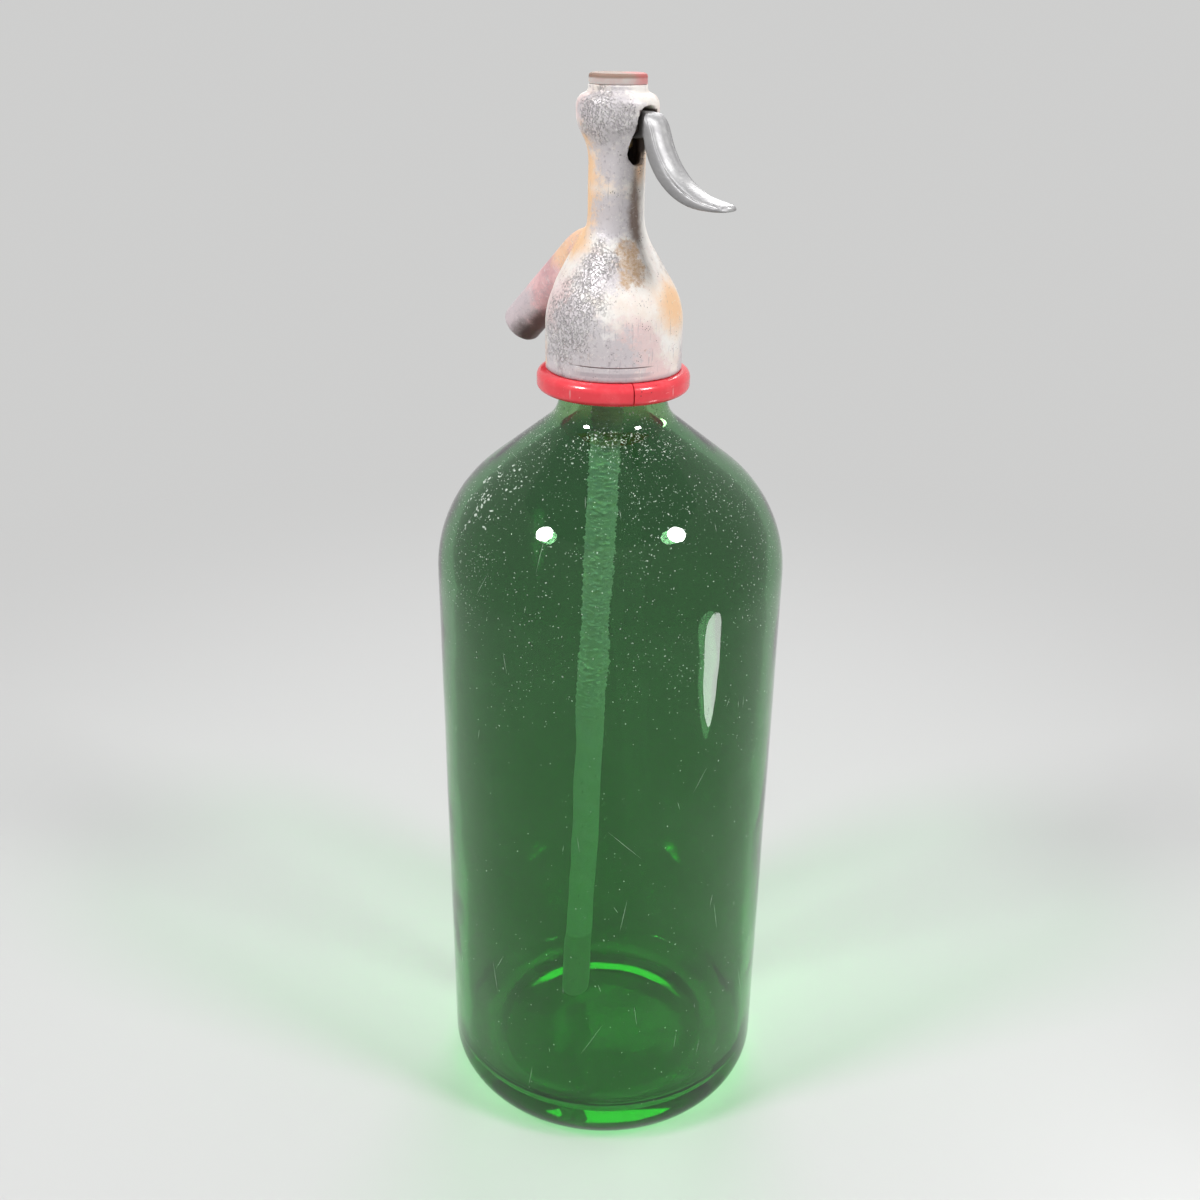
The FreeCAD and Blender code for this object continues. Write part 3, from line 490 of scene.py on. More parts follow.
def head_enamel():
    """Old paint over a cast head: chalky, flaking, stained, bare grey in places."""
    material, tree, shader = finish("head_enamel")
    chalk = use(tree, blotches, Size=95, Cover=0.52, Edge=0.14, Shift=1)
    pink = patches(tree, PINK_PATCHES, ragged=0.45, tear=260, edge=0.35)
    blush = use(tree, blotches, Size=230, Cover=0.42, Edge=0.1, Shift=4)
    peach = patches(tree, PEACH_AND_REFLECTION_PATCHES, ragged=0.35, tear=150, edge=0.55)
    mottle = use(tree, blotches, Size=1300, Cover=0.5, Edge=0.09, Shift=21)
    tan_and_shadow = times(tree, patches(tree, TAN_AND_SHADOW_PATCHES, ragged=0.8, tear=520, edge=0.3),
                graded(tree, mottle, 0.62, 0.95))

    bare = times(tree, patches(tree, BARE_PATCHES, ragged=0.6, tear=330, edge=0.3),
                 use(tree, blotches, Size=420, Cover=0.64, Edge=0.1, Shift=7))
    dull = use(tree, blotches, Size=700, Cover=0.4, Edge=0.07, Shift=9)
    bright = use(tree, blotches, Size=300, Cover=0.36, Edge=0.08, Shift=17)
    tin = coats(tree, TIN, (dull, 0.75, TIN_DULL), (bright, 1, TIN_BRIGHT))

    crust = patches(tree, CRUST_PATCHES, ragged=0.7, tear=260, edge=0.3)
    flaking = {"Size": 1150, "Shift": 3, "Stretch": 0.8}
    dark_edges = times(tree, crust, use(tree, crazing, Width=0.027, Level=0.53, **flaking))
    pale_edges = times(tree, crust, use(tree, crazing, Width=0.03, Level=0.48, **flaking))
    rim = patches(tree, LIT_RIM_PATCH, ragged=0.1, tear=400, edge=0.45, upright=9)
    run = patches(tree, LEVER_SHADOW_RUN, ragged=0.28, tear=420, edge=0.5, upright=5.6)

    streaks = use(tree, scratches, Along=(0.05, 0.05, 0), Size=1500, Width=0.09, Cover=0.6)
    wipes = use(tree, scratches, Along=(1.4, 0.3, 0.2), Size=1700, Width=0.12, Cover=0.6)
    cuts = use(tree, scratches, Along=(1.2, 0.9, 0), Size=1300, Width=0.07, Cover=0.5)
    marked = patches(tree, SKIRT_MARK, ragged=0.12, tear=260, edge=0.2)
    turned = times(tree, marked, level_mark(tree, *SKIRT_LINE))
    shade_band = times(tree, marked, level_mark(tree, *SKIRT_SHADE))
    # The skirt darkened towards its foot on the collar: painted shade at the joint.
    foot = fall(tree, height(tree), *SKIRT_FOOT_SHADE)
    stains = use(tree, blotches, Size=620, Cover=0.33, Edge=0.03, Shift=12)
    pits = use(tree, specks, Size=1900, Cover=0.36, Shift=2)

    colour = coats(
        tree, CREAM, (chalk, 1, CHALK), (pink, 0.75, PINK), (blush, 0.35, PINK),
        (peach, 1, PEACH), (tan_and_shadow, 1, TAN), (bare, 0.9, tin), (dark_edges, 0.7, TIN_DULL),
        (pale_edges, 0.8, CHALK), (rim, 0.85, CHALK), (run, 0.9, SHADOW_BROWN),
        (streaks, 0.4, TIN_DULL), (wipes, 0.5, CHALK), (cuts, 0.5, TIN_DULL),
        (shade_band, 0.55, TIN_DULL), (turned, 0.85, DARK_PIT_AND_SHADE), (foot, 0.6, TIN_DULL),
        (stains, 0.5, RUST), (pits, 0.7, DARK_PIT_AND_SHADE), (painted_hollow_shade(tree), 0.93, DARK_PIT_AND_SHADE))
    fill(tree, shader, Base_Color=colour, Metallic=times(tree, bare, 0.2),
         Roughness=graded(tree, bare, 0.52, 0.36))
    relief(tree, shader, (grain(tree, 420, 8, 0.7), 0.18),
           (inverse(tree, bare), 0.05), (pale_edges, 0.08),
           (inverse(tree, dark_edges), 0.08), (inverse(tree, pits), 0.06),
           (inverse(tree, turned), 0.1))
    return material


SPOUT_MAUVE = (0.66, 0.385, 0.4, 1)
SPOUT_PINK = (0.86, 0.55, 0.55, 1)
SPOUT_GREY = (0.6, 0.555, 0.58, 1)
SPOUT_UNDER_SHADE = (0.1, 0.07, 0.065, 1)
SPOUT_BARE_PATCHES = [((-35, -4, 244.5), 8), ((-29, -5.5, 250), 5),
                      ((-33, 4, 242), 7)]
SPOUT_SHADE_PATCHES = [((-28.5, -1.5, 240.6), 5.6), ((-24, -1.5, 244.6), 4.6)]
SPOUT_PEACH_PATCHES = [((-9, -3, 272.5), 6), ((-15, -5, 266), 4.5),
                       ((-12, 5, 266), 4)]


def spout_enamel():
    """Mauve paint on the spout, rubbed to a paler grey towards its end, and painted dark as shade
    under its end.
    """
    material, tree, shader = finish("spout_enamel")
    faded = use(tree, blotches, Size=140, Cover=0.5, Edge=0.1, Shift=3)
    peach = patches(tree, SPOUT_PEACH_PATCHES, ragged=0.5, tear=170, edge=0.5)
    rubbed = patches(tree, SPOUT_BARE_PATCHES, ragged=0.5, tear=260, edge=0.35)
    streaks = use(tree, scratches, Along=(0, 0.9, 0), Size=1300, Width=0.08, Cover=0.6)
    flakes = use(tree, crazing, Size=420, Width=0.02, Level=0.56, Shift=6)
    pits = use(tree, specks, Size=1600, Cover=0.36, Shift=5)
    # The underside near the spout's end, painted dark as shade.
    under = patches(tree, SPOUT_SHADE_PATCHES, ragged=0.3, tear=260, edge=0.45)
    colour = coats(
        tree, SPOUT_MAUVE, (faded, 1, SPOUT_PINK), (peach, 0.8, PEACH),
        (rubbed, 0.8, SPOUT_GREY), (streaks, 0.4, TIN_BRIGHT), (flakes, 0.5, TIN_DULL),
        (pits, 0.5, CHALK), (under, 0.92, SPOUT_UNDER_SHADE))
    fill(tree, shader, Base_Color=colour, Roughness=graded(tree, rubbed, 0.52, 0.38))
    relief(tree, shader, (grain(tree, 420, 7, 0.65), 0.12),
           (inverse(tree, pits), 0.05))
    return material


CAP_ROSE = (0.84, 0.66, 0.63, 1)
CAP_FADED = (0.86, 0.79, 0.75, 1)
CAP_CROWN = (0.33, 0.2, 0.14, 1)
CAP_CROWN_RISE = (309.6 * MM, 310.2 * MM)
CAP_RED = (0.78, 0.16, 0.17, 1)
CAP_RED_PATCH = [((6, 4.5, 310), 6)]
CAP_GRIME = (0.3, 0.16, 0.13, 1)


def cap_rose():
    """Sun-faded translucent plastic, still pink at its edges."""
    material, tree, shader = finish(
        "cap_rose", IOR=1.49, Transmission_Weight=0.3, Subsurface_Weight=0.25,
        Subsurface_Scale=0.004, Subsurface_Radius=(1, 0.45, 0.4))
    faded = use(tree, blotches, Size=190, Cover=0.52, Edge=0.12, Shift=2)
    crown = ramp(tree, height(tree), *CAP_CROWN_RISE)
    redder = patches(tree, CAP_RED_PATCH, ragged=0.2, tear=200, edge=0.4)
    grime = use(tree, specks, Size=1100, Cover=0.3)
    colour = coats(
        tree, CAP_ROSE, (faded, 1, CAP_FADED), (crown, 0.9, CAP_CROWN),
        (redder, 0.7, CAP_RED), (grime, 0.5, CAP_GRIME))
    dulled = strongest(tree, graded(tree, faded, 0.3, 0.48), times(tree, crown, 0.6))
    fill(tree, shader, Base_Color=colour, Roughness=dulled)
    relief(tree, shader, (grain(tree, 520, 4), 0.05))
    return material


LEVER_GREY = (0.57, 0.565, 0.565, 1)
LEVER_DULL = (0.44, 0.435, 0.44, 1)
LEVER_BLOOM = (0.64, 0.635, 0.63, 1)
LEVER_PIT = (0.24, 0.23, 0.24, 1)
# The lever's flanks are painted darker: a painted dark reflection along its sides.
LEVER_SIDE_DARK_REFLECTION = (0.27, 0.265, 0.27, 1)
LEVER_SIDE_REFLECTION_EDGE = (3 * MM, 4.1 * MM)
# The lever's root in the slot is painted near black and less metallic, as shade.
LEVER_ROOT_SHADE = (0.045, 0.04, 0.035, 1)
LEVER_ROOT_SHADE_EDGE = (9.2 * MM, 10.5 * MM)


def lever_metal():
    """Pewter-grey cast lever, rubbed bright by fingers; painted shade makes its root in the slot
    black, and a painted dark reflection darkens its sides.
    """
    material, tree, shader = finish("lever_metal")
    dull = use(tree, blotches, Size=170, Cover=0.5, Edge=0.1, Shift=6)
    bloom = use(tree, blotches, Size=420, Cover=0.42, Edge=0.06, Shift=8)
    pits = use(tree, specks, Size=900, Cover=0.28, Shift=3)
    split = axes(tree)
    side = ramp(tree, maths(tree, "ABSOLUTE", split["Y"]), *LEVER_SIDE_REFLECTION_EDGE)
    painted_root_shade = fall(tree, split["X"], *LEVER_ROOT_SHADE_EDGE)
    lines = use(tree, scratches, Along=(0, 1.3, 0.2), Size=1300, Width=0.08, Cover=0.5)
    colour = coats(
        tree, LEVER_GREY, (dull, 1, LEVER_DULL), (bloom, 0.5, LEVER_BLOOM),
        (pits, 0.5, LEVER_PIT), (side, 0.6, LEVER_SIDE_DARK_REFLECTION), (painted_root_shade, 0.9, LEVER_ROOT_SHADE))
    worn = strongest(tree, times(tree, dull, 0.6), bloom, lines)
    fill(tree, shader, Base_Color=colour, Metallic=inverse(tree, times(tree, painted_root_shade, 0.9)),
         Roughness=graded(tree, worn, 0.5, 0.66))
    relief(tree, shader, (grain(tree, 480, 6, 0.6), 0.04), (lines, 0.015),
           (inverse(tree, pits), 0.03))
    return material


TUBE_MILK = (0.9, 0.92, 0.84, 1)
TUBE_LIMED = (0.97, 0.98, 0.95, 1)
TUBE_STAIN = (0.96, 0.86, 0.66, 1)
TUBE_STAIN_RISE = (216 * MM, 226 * MM)
TUBE_WET = (0.42, 0.52, 0.36, 1)
TUBE_WET_EDGE = (42 * MM, 43 * MM)


def tube_plastic():
    """Milky flexible tube, roughened by lime, stained at its top and wet at its foot."""
    material, tree, shader = finish(
        "tube_plastic", IOR=1.45, Transmission_Weight=0.15, Subsurface_Weight=0.7,
        Subsurface_Scale=0.005, Subsurface_Radius=(1, 1, 0.7), Sheen_Weight=1,
        Sheen_Roughness=0.4)
    limed = use(tree, blotches, Size=240, Cover=0.48, Edge=0.1, Shift=2)
    stain = ramp(tree, height(tree), *TUBE_STAIN_RISE)
    wet = fall(tree, height(tree), *TUBE_WET_EDGE)
    colour = coats(tree, TUBE_MILK, (limed, 1, TUBE_LIMED), (stain, 0.8, TUBE_STAIN),
                   (wet, 0.6, TUBE_WET))
    fill(tree, shader, Base_Color=colour, Roughness=graded(tree, limed, 0.28, 0.55))
    relief(tree, shader, (grain(tree, 700, 5, 0.7), 0.08))
    return material


def turned_metal(name, bright, dull):
    """Plain machined metal, a little tarnished."""
    material, tree, shader = finish(name, Metallic=1)
    tarnish = use(tree, blotches, Size=260, Cover=0.48, Edge=0.1, Shift=11)
    fill(tree, shader, Base_Color=tint(tree, tarnish, bright, dull),
         Roughness=graded(tree, tarnish, 0.3, 0.5))
    cuts = use(tree, scratches, Along=(1.57, 0, 0), Size=1600, Width=0.05, Cover=0.5)
    relief(tree, shader, (cuts, 0.01))
    return material


def seal_stock(name, fresh, bloomed, roughness):
    """Rubber or fibre sheet with a fine open grain."""
    material, tree, shader = finish(name, Specular_IOR_Level=0.3)
    bloom = use(tree, blotches, Size=300, Cover=0.45, Edge=0.12, Shift=13)
    fill(tree, shader, Base_Color=tint(tree, bloom, fresh, bloomed),
         Roughness=graded(tree, bloom, roughness, roughness + 0.12))
    relief(tree, shader, (grain(tree, 900, 5), 0.05))
    return material


LIME_THICK = (0.66, 0.71, 0.65, 1)
LIME_THIN = (0.4, 0.49, 0.41, 1)


def lime_crust():
    """Dry white lime, as left by hard water."""
    material, tree, shader = finish("lime_crust", Specular_IOR_Level=0.3, Roughness=0.8)
    thin = use(tree, blotches, Size=500, Cover=0.5, Edge=0.1)
    fill(tree, shader, Base_Color=tint(tree, thin, LIME_THICK, LIME_THIN))
    relief(tree, shader, (grain(tree, 1500, 4), 0.03))
    return material


# ---- mesh helpers

SHARP = math.radians(38.0)
SEAM_NEAR = 1e-6
SEAM_DIGITS = 7
ON_AXIS = 1e-7
FRACTAL = (0.8, 2.1, 4)


def keep(name, mesh, material, slot, *nodes, body="siphon"):
    """Puts a finished mesh in the scene, in place of CAD nodes if any are named."""
    piece = show(name, mesh)
    mesh.materials.clear()
    mesh.materials.append(material)
    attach(piece, body)
    if nodes:
        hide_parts(*nodes)
    return piece


def to_mesh(name, work):
    """The mesh of a finished bmesh, which is let go."""
    mesh = bpy.data.meshes.new(name)
    work.to_mesh(mesh)
    work.free()
    return mesh


def shade(mesh):
    """Smooth faces, with edges that turn sharply kept crisp."""
    work = bmesh.new()
    work.from_mesh(mesh)
    for face in work.faces:
        face.smooth = True
    for edge in work.edges:
        edge.smooth = not edge.is_manifold or edge.calc_face_angle(0.0) < SHARP
    work.to_mesh(mesh)
    work.free()
    return mesh


def seam(node):
    """A turned node's outline, as (radius, height) in order, read along its +X seam."""
    mesh = frame["nodes"][node].data

    def key(vertex):
        return round(vertex.co.x, SEAM_DIGITS), round(vertex.co.z, SEAM_DIGITS)

    on_seam = {v.index: key(v) for v in mesh.vertices
               if abs(v.co.y) < SEAM_NEAR and v.co.x > -SEAM_NEAR}
    beside = {corner: set() for corner in on_seam.values()}
    for edge in mesh.edges:
        a, b = edge.vertices
        if a in on_seam and b in on_seam and on_seam[a] != on_seam[b]:
            beside[on_seam[a]].add(on_seam[b])
            beside[on_seam[b]].add(on_seam[a])
    here = min(beside)
    path, left = [here], set(beside) - {here}
    while left:
        options = (beside[here] & left) or left
        here = min(options, key=lambda corner: math.dist(corner, here))
        path.append(here)
        left.discard(here)
    return path


def divided(path, step):
    """The same outline with no run longer than a step."""
    fine = []
    for (r0, z0), (r1, z1) in zip(path, path[1:]):
        parts = max(1, math.ceil(math.dist((r0, z0), (r1, z1)) / step))
        fine += [(r0 + (r1 - r0) * i / parts, z0 + (z1 - z0) * i / parts) for i in range(parts)]
    return fine + [path[-1]]


def lathe(name, path, sides, shift=None):
    """Turns an outline about the Z axis; shift moves each point by its own rule."""
    work = bmesh.new()
    rings = []
    for r, z in path:
        if r < ON_AXIS:
            rings.append([work.verts.new((0, 0, z))])
            continue
        ring = []
        for i in range(sides):
            angle = math.tau * i / sides
            point = Vector((r * math.cos(angle), r * math.sin(angle), z))
            ring.append(work.verts.new(shift(point, r, z) if shift else point))
        rings.append(ring)
    for lower, upper in zip(rings, rings[1:]):
        for i in range(sides):
            j = (i + 1) % sides
            if len(lower) == 1:
                work.faces.new((lower[0], upper[i], upper[j]))
            elif len(upper) == 1:
                work.faces.new((lower[j], lower[i], upper[0]))
            else:
                work.faces.new((lower[j], lower[i], upper[i], upper[j]))
    bmesh.ops.recalc_face_normals(work, faces=work.faces)
    return shade(to_mesh(name, work))


def bar(work, rings):
    """Joins rings of points into a closed bar."""
    for lower, upper in zip(rings, rings[1:]):
        for i in range(len(lower)):
            j = (i + 1) % len(lower)
            work.faces.new((lower[i], lower[j], upper[j], upper[i]))
    work.faces.new(rings[0][::-1])
    work.faces.new(rings[-1])


def cast_skin(name, nodes, cell, passes):
    """A closed even skin over CAD nodes, its hard edges softened as in a casting."""
    joined = bmesh.new()
    for node in nodes:
        joined.from_mesh(frame["nodes"][node].data)
    rough = show(name, to_mesh(name, joined))
    remesh = rough.modifiers.new("skin", "REMESH")
    remesh.mode = "VOXEL"
    remesh.voxel_size = cell
    remesh.use_smooth_shade = True
    soften = rough.modifiers.new("soften", "SMOOTH")
    soften.factor = 0.5
    soften.iterations = passes
    seen = rough.evaluated_get(bpy.context.evaluated_depsgraph_get())
    mesh = bpy.data.meshes.new_from_object(seen)
    mesh.name = name
    bpy.data.objects.remove(rough)
    return mesh


def push(mesh, depth):
    """Moves each vertex along its normal by its own depth."""
    moves = [vertex.normal * depth(vertex) for vertex in mesh.vertices]
    for vertex, move in zip(mesh.vertices, moves):
        vertex.co += move
    return mesh


def smoothstep(value, low, high):
    share = min(max((value - low) / (high - low), 0.0), 1.0)
    return share * share * (3 - 2 * share)


def drifts(place, pitch, low, high):
    """Soft clouds: 0 in the gaps between them, and 1 in their middles."""
    return smoothstep(noise.noise(place * pitch), low, high)


def dents(place, pitch, depth):
    """Soft dents and swellings, at most about this many millimetres deep."""
    return noise.noise(place * pitch) * depth * MM


def cast_grain(place, pitch, depth):
    """The rough grain of a sand casting, about this many millimetres deep."""
    return noise.fractal(place * pitch, *FRACTAL) * depth * MM


# ---- bottle

BOTTLE_STEP = 2.2 * MM
BOTTLE_SIDES = 144
WALL = 6 * MM
WAVE_PITCH = 19
INNER_WAVE = 0.26 * MM
INNER_RISE = 0.3
OUTER_WAVE = 0.16 * MM
WAVE_NECK_FADE = (4 * MM, 40 * MM)
WAVE_FOOT_FADE = (4 * MM, 25 * MM)

# Where a wave's pattern starts, and the share and pitch of the ripples on it
INNER_RIPPLE = (UP * 9, 0.35, 75)
OUTER_RIPPLE = (UP * 0, 0.15, 60)

# How far the outside is drawn in, so that the flecks on it stay in the CAD's bounds
LIME_ROOM = 0.04 * MM


def bottle(glass):
    """Blown glass: the turned outline, uneven as hand work is, most of all inside."""
    outline = divided(seam("glass_bottle"), BOTTLE_STEP)
    heights = sorted((z, r) for r, z in outline)
    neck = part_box("collar_half_front")[0].z

    def outside_radius(z):
        return max(r for level, r in heights if abs(level - z) < BOTTLE_STEP)

    def drift(point, start, share, pitch):
        return noise.noise(point * WAVE_PITCH + start) + share * noise.noise(point * pitch)

    def uneven(point, r, z):
        fade = smoothstep(neck - z, *WAVE_NECK_FADE) * smoothstep(z, *WAVE_FOOT_FADE)
        if r < outside_radius(z) - WALL / 2:
            pull = INNER_WAVE * fade * (drift(point, *INNER_RIPPLE) + INNER_RISE)
        else:
            pull = OUTER_WAVE * fade * abs(drift(point, *OUTER_RIPPLE)) + LIME_ROOM
        return Vector((point.x * (1 - pull / r), point.y * (1 - pull / r), z))

    mesh = lathe("bottle_body", outline, BOTTLE_SIDES, uneven)
    return keep("bottle_body", mesh, glass, "bottle_glass", "glass_bottle")


HEEL_TOP = 12 * MM
NECK_BORE = 14.8 * MM
OUTWARD_RISE = 30 * MM
OUTWARD_LEAST = 0.3


def outer_faces(mesh):
    """The bottle's outside faces, from the heel up to the collar."""
    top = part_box("collar_half_front")[0].z

    def outside(face):
        out = Vector((face.center.x, face.center.y, OUTWARD_RISE)).normalized()
        return face.center.xy.length > NECK_BORE and face.normal.dot(out) > OUTWARD_LEAST

    return [face for face in mesh.polygons if HEEL_TOP < face.center.z < top and outside(face)]


DUST_EVERYWHERE = 0.45
DUST_LOW = 0.1
DUST_RISE = (140 * MM, 215 * MM)
NECK_LIME_RISE = (214 * MM, 224 * MM)
FLAKE_PATCH = Vector((-12.0, -37.0, 208.0)) * MM
FLAKE_PATCH_FADE = (3 * MM, 15 * MM)


def fine_lime(place):
    """How likely the fine dust of lime is at a place: it thickens towards the neck."""
    drift = drifts(place, 45, -0.1, 0.4)
    return (DUST_EVERYWHERE + drift) * (DUST_LOW + smoothstep(place.z, *DUST_RISE))


def neck_lime(place):
    """The thicker lime just below the collar."""
    return drifts(place, 90, -0.25, 0.3) * smoothstep(place.z, *NECK_LIME_RISE)


def side_lime(place):
    """One patch of larger flakes on the shoulder."""
    near = 1 - smoothstep((place - FLAKE_PATCH).length, *FLAKE_PATCH_FADE)
    return near * drifts(place, 330, 0.0, 0.25)


# Each crop of flecks: how many, the largest in millimetres, and where it grows
FLECK_CROPS = [(7600, 0.2, fine_lime), (1500, 0.26, neck_lime), (190, 0.5, side_lime)]
FLECK_SMALLEST = 0.06 * MM
FLECK_LIFT = 0.02 * MM
FLECK_RIM = 0.2
FLECK_CROWN = 0.08
FLECK_ROOT = 0.02 * MM
FLECK_LEAST = 0.45
FLECK_MORE = 0.7


def spot_on(draw, mesh, face):
    """A random place on a face, with two directions across it."""
    corners = [mesh.vertices[i].co for i in face.vertices]
    spot = corners[0].lerp(corners[1], draw.random()).lerp(
        corners[-1].lerp(corners[-2], draw.random()), draw.random())
    across = (corners[1] - corners[0]).normalized()
    return spot, across, face.normal.cross(across)


def lime_flecks(bottle_piece, lime):
    """Small flakes of lime on the glass, thickest towards the neck."""
    draw = random.Random(11)
    mesh = bottle_piece.data
    outer = outer_faces(mesh)
    work = bmesh.new()
    for count, largest, likely in FLECK_CROPS:
        chances = [face.area * likely(face.center) for face in outer]
        for face in draw.choices(outer, chances, k=count):
            spot, across, up = spot_on(draw, mesh, face)
            size = FLECK_SMALLEST + (largest * MM - FLECK_SMALLEST) * draw.random() ** 3
            turn, long = draw.random() * math.tau, 1 + draw.random()
            sides = draw.randint(5, 6)
            rim = []
            for i in range(sides):
                angle = math.tau * i / sides
                reach = size * (FLECK_LEAST + FLECK_MORE * draw.random())
                flat = Vector((math.cos(angle) * reach * long, math.sin(angle) * reach, 0))
                flat.rotate(Quaternion(UP, turn))
                rim.append(work.verts.new(spot + across * flat.x + up * flat.y
                                          + face.normal * FLECK_RIM * FLECK_LIFT))
            crown = work.verts.new(spot + face.normal * (FLECK_LIFT + FLECK_CROWN * size))
            foot = work.verts.new(spot - face.normal * FLECK_ROOT)
            for i in range(sides):
                j = (i + 1) % sides
                work.faces.new((rim[i], rim[j], crown))
                work.faces.new((rim[j], rim[i], foot))
    flakes = shade(to_mesh("lime_flecks", work))
    return keep("lime_flecks", flakes, lime, "bottle_glass")


SCRATCH_COUNT = 105
SCRATCH_STEPS = 10
SCRATCH_SHORTEST = 2.0
SCRATCH_LONGER = 12.0
SCRATCH_HALF = 0.035 * MM
SCRATCH_STAND = 0.015 * MM
SCRATCH_TIP = 0.2
SCRATCH_LEAN = (0.15, 0.35)
SCRATCH_LOW = 24 * MM
SCRATCH_HIGH = 212 * MM


def glass_scratches(bottle_piece, lime):
    """Hairline scratches in the glass, white with dust, that follow its outside."""
    draw = random.Random(5)
    mesh = bottle_piece.data
    outer = outer_faces(mesh)
    skin = BVHTree.FromPolygons([v.co for v in mesh.vertices], [list(f.vertices) for f in outer])
    starts = [face for face in outer if SCRATCH_LOW < face.center.z < SCRATCH_HIGH]
    work = bmesh.new()
    for face in draw.choices(starts, [face.area for face in starts], k=SCRATCH_COUNT):
        heading = draw.gauss(*SCRATCH_LEAN) * draw.choice((1, -1, 1))
        length = (SCRATCH_SHORTEST + SCRATCH_LONGER * draw.random() ** 2) * MM
        level = Vector((-face.center.y, face.center.x, 0)).normalized()
        way = face.normal.cross(level) * math.cos(heading) + level * math.sin(heading)
        rows = []
        for i in range(SCRATCH_STEPS + 1):
            along = (i / SCRATCH_STEPS - 0.5) * length
            middle, out = skin.find_nearest(face.center + way * along)[:2]
            taper = math.sin(math.pi * (i + SCRATCH_TIP) / (SCRATCH_STEPS + 2 * SCRATCH_TIP))
            across = out.cross(way).normalized() * SCRATCH_HALF * taper
            rows.append([work.verts.new(middle + across), work.verts.new(middle - across),
                         work.verts.new(middle + out * SCRATCH_STAND * taper)])
        bar(work, rows)
    bmesh.ops.recalc_face_normals(work, faces=work.faces)
    marks = to_mesh("glass_scratches", work)
    return keep("glass_scratches", marks, lime, "bottle_glass")


# ---- head, spout and lever

SPOUT_RADIUS = 5.75 * MM
SPOUT_ROOT = Vector((-6.6, 0.0, 267.12)) * MM
SPOUT_RUN = Vector((-32.5, 0.0, -31.9)).normalized()
SOLDER_SPREAD = 2.2 * MM
SOLDER_RISE = 0.9 * MM
SOLDER_FRONT = -4 * MM
SOLDER_LOW = 250 * MM
SOLDER_HIGH = 276 * MM


def solder(place):
    """How far the solder round the spout's root stands up from the head at a place."""
    if place.x > SOLDER_FRONT or not SOLDER_LOW < place.z < SOLDER_HIGH:
        return 0.0
    away = place - SPOUT_ROOT
    apart = min((away - SPOUT_RUN * max(away.dot(SPOUT_RUN), 0)).length,
                math.hypot(away.y, away.z)) - SPOUT_RADIUS
    return SOLDER_RISE * (1 - smoothstep(apart, 0.0, SOLDER_SPREAD)) ** 2


THROAT_INSIDE = 6.4 * MM
RUN_DEPTH = 0.6 * MM
RUN_SIDE = (0.6 * MM, 2.3 * MM)
RUN_FOOT = (259 * MM, 268 * MM)
RUN_TOP = (288 * MM, 291 * MM)


def run_below_slot(place):
    """How deep the shallow run below the slot is at a place on the lever's side of the throat."""
    if place.x < 0 or math.hypot(place.x, place.y) < THROAT_INSIDE:
        return 0.0
    across = 1 - smoothstep(abs(place.y), *RUN_SIDE)
    along = smoothstep(place.z, *RUN_FOOT) * (1 - smoothstep(place.z, *RUN_TOP))
    return RUN_DEPTH * across * along


HEAD_CELL = 0.42 * MM
HEAD_DENTS = (110, 0.1)
HEAD_GRAIN = (900, 0.035)
SKIN_SINK = 0.02 * MM


def head(enamel):
    """The cast head, softened at its edges, with a pitted and slightly dented skin."""
    mesh = cast_skin("head_shell", ("head_casting", "lever_pin"), HEAD_CELL, passes=4)

    def pitting(vertex):
        place = vertex.co
        pits = min(dents(place, *HEAD_DENTS) + cast_grain(place, *HEAD_GRAIN), 0.0)
        return pits - SKIN_SINK + solder(place) - run_below_slot(place)

    return keep("head_shell", push(mesh, pitting), enamel, "head_enamel",
                "head_casting", "lever_pin")


SPOUT_CELL = 0.33 * MM
SPOUT_GRAIN = (800, 0.03)


def spout(enamel):
    """The spout, with its own fine cast grain."""
    mesh = cast_skin("spout_barrel", ("spout_tube",), SPOUT_CELL, passes=3)

    def pitting(vertex):
        return cast_grain(vertex.co, *SPOUT_GRAIN) - SKIN_SINK

    return keep("spout_barrel", push(mesh, pitting), enamel, "spout_enamel", "spout_tube")


LEVER_CELL = 0.26 * MM
LEVER_OUT = Vector((0.71, 0, 0.71))
LEVER_OUT_EDGE = (0.3, 0.8)
LEVER_GROOVE = 0.06 * MM
LEVER_GROOVE_EDGE = (0.0, 0.6)
LEVER_ROUNDING = 0.85 * MM
LEVER_ROUNDING_EDGE = (0.15, 1.05)
LEVER_RUN = (4 * MM, 8 * MM)
LEVER_TAIL = (14 * MM, 3 * MM)
LEVER_DENTS = (120, 0.04)


def lever(metal):
    """The claw lever: soft cast edges, and a shallow groove down its outer face."""
    mesh = cast_skin("claw_lever", ("lever",), LEVER_CELL, passes=45)
    low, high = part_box("lever")
    half = (high.y - low.y) / 2
    root = frame["joints"][0]["pos_m"][0]

    def groove(vertex):
        facing = smoothstep(vertex.normal.dot(LEVER_OUT), *LEVER_OUT_EDGE)
        across = abs(vertex.co.y) / half
        middle = 1 - smoothstep(across, *LEVER_GROOVE_EDGE)
        run = smoothstep(vertex.co.x, *(root + way for way in LEVER_RUN))
        tail = 1 - smoothstep(vertex.co.x, *(high.x - way for way in LEVER_TAIL))
        rounding = smoothstep(across, *LEVER_ROUNDING_EDGE) * facing * run
        wear = min(dents(vertex.co, *LEVER_DENTS), 0.0)
        return wear - LEVER_ROUNDING * rounding - LEVER_GROOVE * facing * middle * run * tail

    return keep("claw_lever", push(mesh, groove), metal, "lever_metal", "lever", body="lever")


# ---- dip tube and spring

TUBE_RIM = 0.3 * MM
TUBE_STEP = 0.3 * MM
TUBE_SIDES = 56
CRUST_STEP = 0.55 * MM
CRUST_ROUND = 3.6
CRUST_FINE = 2.3
CRUST_FINE_SHARE = 0.4
CRUST_RISE = 1.2
CRUST_SINK = 0.15
CRUST_TOP_FADE = (9 * MM, 14 * MM)
CRUST_END = (0.45, 0.62)


